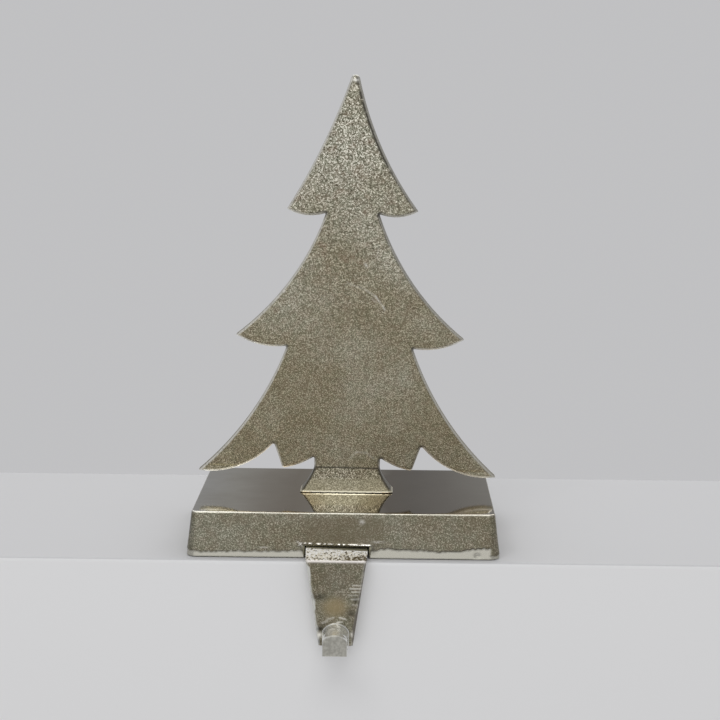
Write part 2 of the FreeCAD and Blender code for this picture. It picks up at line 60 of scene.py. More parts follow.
def makeCamera(settings):
    # looks along +Y, turned by yaw about Z, pitch about X and roll about its own line of sight
    data = bpy.data.cameras.new("camera")
    data.sensor_width = settings["sensor"]
    data.lens = settings["sensor"] * settings["focalPixels"] / settings["imagePixels"]
    data.clip_start = 0.01
    data.clip_end = 20
    yaw, pitch, roll = (np.radians(settings[name]) for name in ("yaw", "pitch", "roll"))
    turn = Matrix.Rotation(yaw, 4, "Z") @ Matrix.Rotation(pitch, 4, "X") @ Matrix.Rotation(roll, 4, "Y")
    turn = turn @ Matrix.Rotation(np.pi / 2, 4, "X")
    camera = bpy.data.objects.new("camera", data)
    scene.collection.objects.link(camera)
    camera.matrix_world = Matrix.Translation(Vector(settings["place"]) * mm) @ turn
    scene.camera = camera


makeCamera(cameraSettings)
print("camera set")


# small tools for shapes

weldReach = 0.004  # points of a piece nearer than this, in millimetres, become one
flatReach = 0.001  # edges shorter than this are dissolved


def smooth(low, high, values):
    # rises from 0 at low to 1 at high along 3t^2 - 2t^3
    t = np.clip((values - low) / (high - low), 0, 1)
    return t * t * (3 - 2 * t)


def bell(values, width):
    # 1 at zero, fading on both sides as a bell curve
    return np.exp(-(values / width) ** 2)


def waves(points, seed, shortest, longest, count=40):
    # sum of plane waves with seeded directions, lengths and phases, scaled to a spread of about 1
    draw = np.random.default_rng(seed)
    heading = draw.normal(size=(count, points.shape[1]))
    heading /= np.linalg.norm(heading, axis=1, keepdims=True)
    length = draw.uniform(shortest, longest, count)
    phase = draw.uniform(0, 2 * np.pi, count)
    along = points @ (heading * (2 * np.pi / length)[:, None]).T
    return np.sin(along + phase).sum(axis=1) / np.sqrt(count / 2)


def castRelief(places, seed, skin):
    # skin of a sand casting: fine grain on slow swells, lowered so far that it is never proud of the face
    grain = waves(places, seed, *skin["grain"], 60)
    swell = waves(places, seed + 1, *skin["swell"], 24)
    grainShare, swellShare = skin["shares"]
    return np.minimum(skin["height"] * (grainShare * grain + swellShare * swell - skin["drop"]), 0)


def gridFaces(rows, columns, ringed=False):
    # quads between neighbouring points of a grid that is stored row by row; ringed closes each row
    index = np.arange(rows * columns).reshape(rows, columns)
    if ringed:
        index = np.hstack([index, index[:, :1]])
    quads = [index[:-1, :-1], index[:-1, 1:], index[1:, 1:], index[1:, :-1]]
    return np.stack(quads, axis=-1).reshape(-1, 4)


def setMark(mesh, name, values):
    mesh.attributes.new(name, "FLOAT", "POINT").data.foreach_set("value", values.astype(np.float32))


def shadeSoft(mesh, sharpAngle):
    # smooth shading, sharp where faces meet at more than sharpAngle degrees
    mesh.shade_smooth()
    mesh.set_sharp_from_angle(angle=np.radians(sharpAngle))


def pieceFrom(name, patches, marks=(), sharpAngle=40):
    # welds patches, each of points in millimetres, lists of faces and marks, and turns the shell outwards
    mesh = bpy.data.meshes.new(name)
    points = np.vstack([patch[0] for patch in patches])
    starts = np.cumsum([0] + [len(patch[0]) for patch in patches[:-1]])
    faces = [tuple(int(i) + start for i in face)
             for patch, start in zip(patches, starts) for face in patch[1]]
    mesh.from_pydata(points * mm, [], faces)
    for mark in marks:
        values = [patch[2].get(mark, np.zeros(len(patch[0]))) for patch in patches]
        setMark(mesh, mark, np.concatenate(values))
    shell = bmesh.new()
    shell.from_mesh(mesh)
    bmesh.ops.remove_doubles(shell, verts=shell.verts, dist=weldReach * mm)
    bmesh.ops.dissolve_degenerate(shell, dist=flatReach * mm, edges=shell.edges)
    bmesh.ops.recalc_face_normals(shell, faces=shell.faces)
    if shell.calc_volume(signed=True) < 0:
        bmesh.ops.reverse_faces(shell, faces=shell.faces)
    openEdges = sum(1 for edge in shell.edges if len(edge.link_faces) != 2)
    shell.to_mesh(mesh)
    shell.free()
    shadeSoft(mesh, sharpAngle)
    piece = bpy.data.objects.new(name, mesh)
    scene.collection.objects.link(piece)
    print(name, "faces", len(mesh.polygons), "open edges", openEdges)
    return piece


def runOf(path):
    # distance travelled along a line at each of its points
    return np.concatenate([[0], np.cumsum(np.linalg.norm(np.diff(path, axis=0), axis=1))])


def pointsAt(path, run, places):
    # points of a line where the distance travelled has the given values
    return np.stack([np.interp(places, run, axis) for axis in path.T], axis=1)


def nearestOn(path, places):
    # distance from each place to the nearest point of a line, and which point that is
    found = []
    for part in np.array_split(places, max(len(places) // 400, 1)):
        square = ((part[:, None] - path[None]) ** 2).sum(axis=2)
        found.append((np.sqrt(square.min(axis=1)), square.argmin(axis=1)))
    return tuple(np.concatenate(values) for values in zip(*found))


def arcPoints(start, end, radius, bulge, step):
    # points of a circle's arc between two ends; it bulges to the left of its travel where bulge is 1
    start, end = np.array(start, float), np.array(end, float)
    chord = end - start
    span = np.linalg.norm(chord)
    if bulge == 0:
        share = np.linspace(0, 1, max(int(span / step), 2))[:, None]
        return start + chord * share
    left = np.array([-chord[1], chord[0]]) / span
    middle = (start + end) / 2 - left * bulge * np.sqrt(radius ** 2 - span ** 2 / 4)
    first = np.arctan2(*(start - middle)[::-1])
    half = np.arcsin(span / 2 / radius)
    angle = first - bulge * np.linspace(0, 2 * half, max(int(span / step), 2))
    return middle + radius * np.stack([np.cos(angle), np.sin(angle)], axis=1)


def trimmed(points, fromStart, fromEnd):
    # the same line without a given length at each end
    run = runOf(points)
    return pointsAt(points, run, np.linspace(fromStart, run[-1] - fromEnd, len(points)))


def roundedChain(corners, stretches, trims, step=0.04, pull=0.6):
    # joins arcs end to end; at each inner corner both are cut short by the trim, and a cubic curve rounds the
    # gap, with handles that reach a share pull of the way to the corner
    lines = [trimmed(arcPoints(corners[k], corners[k + 1], radius, bulge, step), trims[k], trims[k + 1])
             for k, (radius, bulge) in enumerate(stretches)]
    share = np.linspace(0, 1, 24)[1:-1, None]
    path = [lines[0]]
    for before, after, corner in zip(lines, lines[1:], np.array(corners[1:])):
        a, b = before[-1], after[0]
        p, q = a + (corner - a) * pull, b + (corner - b) * pull
        path.append((1 - share) ** 3 * a + 3 * (1 - share) ** 2 * share * p
                    + 3 * (1 - share) * share ** 2 * q + share ** 3 * b)
        path.append(after)
    return np.vstack(path)


def spaced(path, spacing):
    # points along a line, as far apart as spacing says at each of the line's own points
    run = runOf(path)
    gaps = np.broadcast_to(spacing, len(path))
    count = np.concatenate([[0], np.cumsum(np.diff(run) / ((gaps[1:] + gaps[:-1]) / 2))])
    return pointsAt(path, run, np.interp(np.linspace(0, count[-1], int(count[-1]) + 2), count, run))


def fillFace(loop, spacing, margin, seed, extra=None, rowShare=0.866, jitter=0.16):
    # triangles inside a closed line, joined by Delaunay's rule: a lattice with rows a rowShare of the spacing
    # apart, jittered by a share of it, that stays a margin inside the line, and the extra points
    low, high = loop.min(axis=0), loop.max(axis=0)
    draw = np.random.default_rng(seed)
    rows = np.arange(low[1], high[1], spacing * rowShare)
    columns = np.arange(low[0], high[0] + spacing, spacing)
    x, z = np.meshgrid(columns, rows)
    x = x + (np.arange(len(rows)) % 2 * spacing / 2)[:, None]
    lattice = np.stack([x.ravel(), z.ravel()], axis=1)
    lattice += draw.uniform(-jitter, jitter, lattice.shape) * spacing
    lattice = lattice[insideLoop(lattice, loop)]
    lattice = lattice[nearestOn(loop, lattice)[0] > margin]
    if extra is not None:
        lattice = np.vstack([lattice, extra])
    places = [Vector(place) for place in np.vstack([loop, lattice])]
    ring = np.arange(len(loop))
    edges = np.stack([ring, np.roll(ring, -1)], axis=1).tolist()
    found = delaunay_2d_cdt(places, edges, [], 1, 1e-7)
    return np.array(found[0]), found[2]


def spots(x, z, places):
    # soft oval spots, each listed by its middle, half width, half height and, where it isn't 1, strength
    total = np.zeros(np.shape(x))
    for middle, level, wide, high, *strength in places:
        total = total + bell(x - middle, wide) * bell(z - level, high) * (strength[0] if strength else 1)
    return total


def strokes(x, z, lines):
    # straight strokes: 1 along each line from one place to another, fading sideways as a bell curve
    total = np.zeros(np.shape(x))
    for startX, startZ, endX, endZ, width, share in lines:
        runX, runZ = endX - startX, endZ - startZ
        along = np.clip(((x - startX) * runX + (z - startZ) * runZ) / (runX ** 2 + runZ ** 2), 0, 1)
        away = np.hypot(x - startX - along * runX, z - startZ - along * runZ)
        total = total + share * bell(away, width)
    return total


def insideLoop(points, loop):
    # counts how often a line to the right of each point crosses the loop: odd is inside
    after = np.roll(loop, -1, axis=0)
    odd = np.zeros(len(points), bool)
    for (x0, z0), (x1, z1) in zip(loop, after):
        if z0 != z1:
            spans = (z0 > points[:, 1]) != (z1 > points[:, 1])
            odd ^= spans & (points[:, 0] < (x1 - x0) * (points[:, 1] - z0) / (z1 - z0) + x0)
    return odd


# tree casting: a slab whose outline is arcs, with a rounded rim and a foot that swells to its seat

tree = {
    "height": 163.37,
    "tipRadius": 1.75,
    "tipAngle": 21.0,
    "upperTip": (25.4, 111.8),
    "upperNeck": (10.3, 110.5),
    "middleTip": (44.7, 62.0),
    "middleNeck": (24.7, 58.0),
    "lowerTip": (59.0, 7.2),
    "lowerNotch": (29.2, 19.2),
    "lobe": (25.6, 8.9),
    "trunk": (13.0, 13.9),
    "upperFlankLeft": 255.0,
    "upperFlankRight": 130.0,
    "middleFlank": 104.0,
    "lowerFlank": 122.0,
    "upperSkirt": 17.0,
    "middleSkirt": 29.0,
    "lowerSkirt": 33.0,
    "lobeSkirt": 30.0,
    "halfThickness": 3.0,
    "rimRadius": 1.2,
    "rimBand": 1.5,  # width of the ground rim
    "footTop": 9.6,
    "footHalfWidths": (18.59, 15.2, 12.85),  # at the seat, at the waist and at the top
    "footHalfDepths": (5.36, 3.8, 2.75),
    "footWaist": 4.6,
    "footTuck": 0.35,  # the foot's lowest edge is rounded under by this much
    "lean": 0.85,
    "offset": 0.45,
    "seat": 17.3,
    "spacing": 0.52,
    "fineSpacing": 0.14,  # at corners
    # how far each corner is cut to be rounded, from the foot's top to the tip
    "roundings": (0, 1.1, 1.0, 1.5, 0.35, 1.1, 0.3, 1.0, 0.3, 0),
    # half width and levels of rows of points that hold the foot's tuck and the crease over it
    "footRows": ((14.0, (0.12, 0.3, 0.6)), (11.2, (9.45, 9.6, 9.75))),
    "footReach": 21.0,  # half width inside which low points are on the foot
    # relief of the skin: wave lengths of grain and swell, their shares, how far it is lowered, its height
    "skin": {"grain": (1.3, 2.6), "swell": (9, 30), "shares": (0.55, 0.35), "drop": 1.6, "height": 0.02},
    "seeds": (21, 22),  # of the front and the back
    # raised scratches on the face: from, to, half width, strength
    "scratches": ((9.6, 78.6, 11.2, 76.5, 0.3, 0.85), (11.5, 76.1, 12.2, 75.1, 0.3, 0.45),
                  (12.4, 74.8, 13.6, 73.2, 0.28, 0.75), (6.2, 80.6, 9.4, 78.7, 0.3, 0.35),
                  (8.4, 77.6, 9.8, 76.2, 0.4, 0.25),
                  (-1.5, 83.5, 5.9, 81.0, 0.3, 0.25), (5.4, 91.0, 6.0, 90.3, 0.45, 0.6),
                  (10.4, 97.9, 10.0, 93.3, 0.3, 0.25), (-25.0, 82.5, -24.3, 82.9, 0.45, 0.9),
                  (-26.4, 79.3, -25.9, 79.6, 0.45, 0.8), (-29.0, 76.9, -28.4, 77.3, 0.45, 0.9),
                  (1.2, 13.6, 3.6, 16.2, 0.35, 0.25), (3.6, 16.2, 7.6, 16.0, 0.35, 0.3),
                  (7.6, 16.0, 10.8, 13.4, 0.35, 0.25)),
    "scratchRise": 0.1,
    "tipShine": ((0.0, 161.4, 1.1, 0.45, 1.0),),  # painted highlight under the tip
    # painted shade along the step inside the right flanks: distance from the outline and half width, what the
    # upper tier adds to both, and the levels between which it does
    "flankLine": (0.78, 0.36),
    "highLine": (0.22, 0.08),
    "highLevels": (118, 136),
    "creaseRise": 0.15,  # the painted shade in the crease is this far above the foot's top
    "creaseWidth": 0.22,
    # painted shade in the outline's inner corners: place and level, half width and half height, strength
    "corners": ((13.4, 13.6, 1.3, 1.2, 0.8), (29.2, 18.9, 1.0, 1.3, 0.75), (24.7, 58.0, 1.1, 1.1, 0.7),
                (10.3, 110.5, 1.1, 1.1, 0.7)),
}


def through(levels, values, z):
    # the parabola through three values at three levels
    (a, b, c), (p, q, r) = levels, values
    first = (q - p) / (b - a)
    second = ((r - q) / (c - b) - first) / (c - a)
    return p + first * (z - a) + second * (z - a) * (z - b)


def footLevels():
    return 0.0, tree["footWaist"], tree["footTop"]


def tuckAt(z):
    # quarter-round under the foot's lowest edge
    tuck = tree["footTuck"]
    reach = np.clip(1 - z / tuck, 0, 1)
    return tuck * (1 - np.sqrt(1 - reach ** 2))


def halfDepthAt(z):
    # half the thickness at a height: the plate's own above the foot, then the foot's flare
    flare = through(footLevels(), tree["footHalfDepths"], z) - tuckAt(z)
    return np.where(z > tree["footTop"], tree["halfThickness"], flare)


def treeCorners():
    # corners of the right side, from the trunk up
    names = ("trunk", "lobe", "lowerNotch", "lowerTip", "middleNeck", "middleTip", "upperNeck", "upperTip")
    return [tree[name] for name in names]


def treeSide(side):
    # outline of one side from the seat up to the tip: the foot's flare, then arcs with rounded corners
    t = tree
    angle = np.radians(t["tipAngle"])
    tipEnd = (t["tipRadius"] * np.cos(angle), t["height"] - t["tipRadius"] * (1 - np.sin(angle)))
    corners = [(t["trunk"][0], t["footTop"]), *treeCorners(), tipEnd]
    flank = t["upperFlankLeft"] if side < 0 else t["upperFlankRight"]
    stretches = [(0, 0), (t["lobeSkirt"], -1), (0, 0), (t["lowerSkirt"], -1), (t["lowerFlank"], 1),
                 (t["middleSkirt"], -1), (t["middleFlank"], 1), (t["upperSkirt"], -1), (flank, 1)]
    above = roundedChain(corners, stretches, t["roundings"])
    z = np.concatenate([np.linspace(0, 0.4, 16), np.linspace(0.45, t["footTop"], 60)[:-1]])
    foot = np.stack([through(footLevels(), t["footHalfWidths"], z) - tuckAt(z), z], axis=1)
    return np.vstack([foot, above]) * (side, 1)


def treeOutline():
    # right side up, round the tip, left side down, as evenly spaced points that close up at corners
    t = tree
    angle = np.radians(t["tipAngle"])
    turn = np.linspace(angle, np.pi - angle, 40)[1:-1]
    tip = np.stack([np.cos(turn), np.sin(turn)], axis=1) * t["tipRadius"] + (0, t["height"] - t["tipRadius"])
    path = np.vstack([treeSide(1), tip, treeSide(-1)[::-1]])
    corners = [(side * x, z) for side in (-1, 1) for x, z in (*treeCorners(), (t["footHalfWidths"][0], 0.0))]
    corners.append((0, t["height"]))
    near = np.min([np.linalg.norm(path - corner, axis=1) for corner in corners], axis=0)
    fine = t["fineSpacing"]
    return spaced(path, fine + (t["spacing"] - fine) * smooth(0.5, 3.5, near))


def outlineDirections(path):
    # outward normals of the outline, and the directions along which its rim is inset, level near the seat
    tangent = np.gradient(path, axis=0)
    tangent /= np.linalg.norm(tangent, axis=1, keepdims=True)
    normal = np.stack([tangent[:, 1], -tangent[:, 0]], axis=1)
    steep = smooth(0, 3, path[:, 1]) + (np.abs(path[:, 0]) > 22)
    inset = np.stack([normal[:, 0], normal[:, 1] * np.clip(steep, 0, 1)], axis=1)
    return normal, inset / np.linalg.norm(inset, axis=1, keepdims=True)


def inwardRoom(path, normal):
    # radius of the largest circle that touches the line from inside at each point: how far it can be inset
    room = np.full(len(path), 1e3)
    for part in np.array_split(np.arange(len(path)), 40):
        gap = path[None] - path[part, None]
        across = -(gap * normal[part, None]).sum(axis=2)
        square = (gap ** 2).sum(axis=2)
        radius = np.where(across > 1e-6, square / np.maximum(2 * across, 1e-9), 1e3)
        room[part] = radius.min(axis=1)
    return room


def plateHalf(z, gap):
    # half thickness at a height, less the quarter-round near the outline
    r = tree["rimRadius"]
    return halfDepthAt(z) - r + np.sqrt(r ** 2 - np.clip(r - gap, 0, r) ** 2)


def treeBand(path, inset):
    # rows of points over the rim, front to back: a ground band, the quarter-rounds and the edge between them
    t = tree
    room = inwardRoom(path, inset) * 0.97
    r = t["rimRadius"]
    turn = np.radians([90, 75, 60, 45, 30, 15, 0])
    reach = np.concatenate([[t["rimBand"]], r - r * np.cos(turn)])
    rows = []
    for side, order in ((-1, 1), (1, -1)):
        for depth in reach[::order]:
            cut = np.minimum(depth, room)
            place = path - inset * cut[:, None]
            rows.append(np.stack([place[:, 0], side * plateHalf(place[:, 1], cut), place[:, 1]], axis=1))
    return np.array(rows)


def treeMarks(x, y, z, gap, facing):
    # where the tree's skin is ground, darkened by painted shade, on the foot, lightened by painted
    # reflections and highlights, and scratched
    t = tree
    onFront = y < 0
    onFoot = smooth(t["footTop"] + 2, t["footTop"] - 0.5, z) * (np.abs(x) < t["footReach"])
    onPlate = 1 - onFoot
    ground = np.maximum(smooth(0.3, 0.75, gap), smooth(0.06, 0, gap))
    rough = np.maximum(ground, onFoot) * smooth(0.5, 0.9, z)
    scratch = strokes(x, z, t["scratches"]) * onFront * rough
    # painted shade inside the flanks: it is broken by slow waves and fades downwards and to the left
    high = smooth(*t["highLevels"], z)
    broken = 0.75 + 0.2 * high + 0.35 * waves(np.stack([x, z], axis=1), 61, 2, 9, 24)
    (place, width), (placeRise, widthRise) = t["flankLine"], t["highLine"]
    line = bell(gap - place - placeRise * high, width + widthRise * high) * np.clip(broken, 0, 1) * onPlate
    toRight = np.clip(0.25 + 0.75 * facing[:, 0], 0.15, 1)
    line *= toRight * (smooth(40, 130, z) + 0.5 * smooth(120, 135, z)) + 0.35 * (facing[:, 1] < -0.5)
    # painted shade on the right edges, in inner corners, round the foot and in the crease over it
    line += 0.45 * smooth(0.6, 0.3, gap) * smooth(0.2, 0.8, facing[:, 0]) * smooth(30, 90, z) * onPlate
    corner = spots(np.abs(x), z, t["corners"])
    line += corner * smooth(2.0, 0.8, gap) * onPlate
    line += 0.75 * onFoot * smooth(1.1, 0.4, gap) * smooth(0.9, 1.5, z)
    crease = bell(z - t["footTop"] - t["creaseRise"], t["creaseWidth"])
    line += crease * (np.abs(x) < 13.5) * smooth(0.4, 1.2, gap)
    # painted reflection on the rounding: bright below the boughs and paler to the left, but not at the tip's
    # end; the scratches and the painted highlight under the tip are added
    rounding = smooth(0.85, 0.5, gap) * smooth(0.03, 0.1, gap) * onPlate * onFront
    rounding = rounding * smooth(162.9, 162.2, z) * (1 - np.clip(corner * 1.3, 0, 1))
    under = smooth(-0.25, -0.75, facing[:, 1]) * (0.5 + 0.5 * smooth(100, 30, z))
    bright = np.maximum(under, 0.2 + 0.32 * smooth(0.3, -0.3, facing[:, 0])) * rounding + 0.6 * scratch
    bright += spots(x, z, t["tipShine"]) * onFront
    return rough, scratch, {"polish": 1 - rough, "line": np.clip(line, 0, 1), "foot": onFoot,
                            "bright": np.clip(bright, 0, 1)}


def makeTree():
    t = tree
    path = treeOutline()
    normal, inset = outlineDirections(path)
    band = treeBand(path, inset)
    edge = band[0][:, [0, 2]]
    seat = np.stack([np.linspace(edge[-1, 0], edge[0, 0], 60)[1:-1], np.zeros(58)], axis=1)
    loop = np.vstack([edge, seat])
    rows = np.vstack([np.stack([np.linspace(-half, half, 57), np.full(57, z)], axis=1)
                      for half, levels in t["footRows"] for z in levels])
    flat, triangles = fillFace(loop, t["spacing"], 0.3, 11, rows)
    patches = [(band.reshape(-1, 3), gridFaces(len(band), len(path)))]
    for side, row in ((-1, 0), (1, -1)):
        y = side * plateHalf(flat[:, 1], nearestOn(path, flat)[0])
        y[:len(path)] = band[row][:, 1]
        patches.append((np.stack([flat[:, 0], y, flat[:, 1]], axis=1), triangles))
    front, back = (points[len(path):len(loop)] for points, _ in patches[1:])
    rim = np.vstack([band[:, -1], back, band[::-1, 0], front[::-1]])
    patches.append((rim, [tuple(range(len(rim)))]))
    marked = []
    lean = np.radians(t["lean"])
    for points, faces in patches:
        x, y, z = points.T
        places = points[:, [0, 2]]
        gap, nearest = nearestOn(path, places)
        rough, scratch, marks = treeMarks(x, y, z, gap, normal[nearest])
        relief = np.where(y < 0, *(castRelief(places, seed, t["skin"]) for seed in t["seeds"]))
        depth = y + np.sign(y) * (relief * rough + t["scratchRise"] * scratch)
        # the plate leans to the right; its seat stays level
        moved = np.stack([x * np.cos(lean) + z * np.sin(lean) + t["offset"], depth,
                          z * np.cos(lean) - x * np.sin(lean) * smooth(0, 6, z) + t["seat"]], axis=1)
        marked.append((moved, faces, marks))
    piece = pieceFrom("tree_plate", marked, ("polish", "line", "foot", "bright"))
    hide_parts("tree_casting")
    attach(piece, "root")
    return piece


treePiece = makeTree()


# base casting: drafted walls round a hollow, ground top, and a notch in the lower front edge for the tongue

base = {
    "halfTop": (57.5, 36.0),
    "cornerRadius": 2.0,
    "draft": 7.5,
    "top": 17.3,
    "bottom": 0.6,
    "skirt": 0.22,  # level of the outer lower edge, which hides the felt's edge
    "skirtWidth": 1.3,
    "edgeRadius": 0.5,
    "lowEdgeRadius": 0.25,
    "ridge": 0.3,  # burr left by the file just above the notch
    "ridgeLevel": 5.4,
    "ridgeSlope": -0.02,
    "coreHalf": (54.699, 33.199),
    "coreCorner": 5.0,
    "coreDraft": 3.0,
    "ceiling": 12.8,
    "notch": (-14.4, 9.9),
    "notchTop": 4.5,
    "lipRadius": 1.0,
    "cornerReach": (0.5, 2.6),  # width of the rounding beside the notch, at its foot and at its top
    "step": 0.5,
    "bandDepth": 0.22,  # the lower edge is ground back by this much
    # height of the ground band above the underside: place along the front, height
    "bandFront": ((-60, 1.7), (-40, 1.8), (-18, 2.2), (12, 2.8), (18, 3.2), (34, 2.6), (42, 2.5), (50, 3.5),
                  (60, 4.4)),
    # dents in the front wall: place and level, half width and half height, depth
    "nicks": ((9.8, 17.2, 1.2, 0.5, 0.16), (13.5, 17.1, 0.8, 0.5, 0.2), (17.2, 17.2, 1.5, 0.4, 0.14),
              (-31.0, 17.2, 0.9, 0.5, 0.15), (44.0, 17.2, 1.1, 0.5, 0.12), (50.8, 1.5, 0.9, 0.8, 0.4),
              (-47.0, 17.2, 0.6, 0.4, 0.12), (33.0, 17.2, 0.5, 0.4, 0.12)),
    # bright scratches on the front wall: place and level, half width and half height
    "scratches": ((13.2, 6.5, 2.2, 0.2), (-30, 4.0, 2.0, 0.3, 0.3), (7.2, 14.0, 0.9, 0.8, 0.4)),
    # two crossed scratches by the notch: from, to, half width, strength
    "cross": ((-17.4, 6.5, -15.2, 4.6, 0.18, 0.6), (-16.8, 4.7, -15.4, 5.9, 0.16, 0.45)),
    # painted shade beside the notch: place and level, half width and half height, strength
    "shades": ((-15.2, 3.4, 0.7, 1.5, 0.7), (-16.0, 4.7, 1.3, 0.7, 0.4), (11.2, 3.7, 1.3, 1.5, 0.8),
               (13.0, 5.4, 1.6, 0.5, 0.35)),
}


def frontPlaces():
    # places along the front between -24 and 20 mm, closer together near the notch's two sides
    left, right = base["notch"]
    inner = np.linspace(left, right, 90)
    near = np.array([0.12, 0.25, 0.4, 0.6, 0.85])
    return np.concatenate([np.linspace(-24, left - 1.15, 18), left - near[::-1], inner,
                           right + near, np.linspace(right + 1.15, 20, 20)])


def roundedRing(halfX, halfY, radius):
    # closed ring round a rectangle with rounded corners, from the front's left end, and its outward normals
    b, middle = base, frontPlaces()
    x, y = halfX - radius, halfY - radius
    wide, deep = (int(2 * half / b["step"]) for half in b["halfTop"])
    left = np.linspace(-x, middle[0], wide // 3)[:-1]
    right = np.linspace(middle[-1], x, wide // 3)[1:]
    front = np.concatenate([left, middle, right])
    sides = [np.stack([front, np.full(len(front), -halfY)], axis=1)]
    normals = [np.tile((0.0, -1.0), (len(front), 1))]
    for turn, line, count in ((-90, [(halfX, -y), (halfX, y)], deep), (0, [(x, halfY), (-x, halfY)], wide),
                              (90, [(-halfX, y), (-halfX, -y)], deep), (180, None, 0)):
        angle = np.radians(turn + np.linspace(0, 90, 7)[1:-1])
        out = np.stack([np.cos(angle), np.sin(angle)], axis=1)
        centre = np.array([x if turn < 90 else -x, y if 0 <= turn < 180 else -y])
        sides.append(centre + out * radius)
        normals.append(out)
        if line:
            share = np.linspace(0, 1, count)[:, None]
            start, end = np.array(line, float)
            sides.append(start + (end - start) * share)
            facing = np.radians(turn + 90)
            normals.append(np.tile((np.cos(facing), np.sin(facing)), (count, 1)))
    return np.vstack(sides), np.vstack(normals)


def bridge(first, second, steps):
    # grid of straight steps from one line of points to another
    share = np.linspace(0, 1, steps + 1)[:, None, None]
    return first[None] * (1 - share) + second[None] * share


def gridPatch(grid, ringed=False, keep=None, marks=None):
    rows, columns = grid.shape[:2]
    faces = gridFaces(rows, columns, ringed)
    if keep is not None:
        faces = faces[keep.ravel()]
    values = {name: value.ravel() for name, value in (marks or {}).items()}
    return grid.reshape(-1, 3), faces, values


def baseLevels():
    # levels of the wall's rows and how far each stands out from the top's outline
    b = base
    draft = np.radians(b["draft"])
    low = b["skirt"] + b["lowEdgeRadius"] * np.array([0, 0.12, 0.35, 0.65, 1])
    lip = b["notchTop"] + b["lipRadius"] * np.array([0, 0.1, 0.25, 0.4, 0.55, 0.7, 0.85, 1, 1.15, 1.3])
    walls = [low, np.linspace(low[-1], b["notchTop"], 12)[1:-1], lip,
             np.linspace(lip[-1], b["top"] - b["edgeRadius"] - 0.25, 24)[1:]]
    z = np.concatenate(walls)
    out = (b["top"] - z) * np.tan(draft)
    tuck = np.clip(1 - (z - b["skirt"]) / b["lowEdgeRadius"], 0, 1)
    out -= b["lowEdgeRadius"] * (1 - np.sqrt(1 - tuck ** 2))
    r = b["edgeRadius"]
    angle = np.radians(np.linspace(b["draft"], 90, 9))
    centre = r * np.tan(draft) - r / np.cos(draft)
    z = np.concatenate([z, b["top"] - r + r * np.sin(angle)])
    out = np.concatenate([out, centre + r * np.cos(angle)])
    return z, out, len(low) + 10


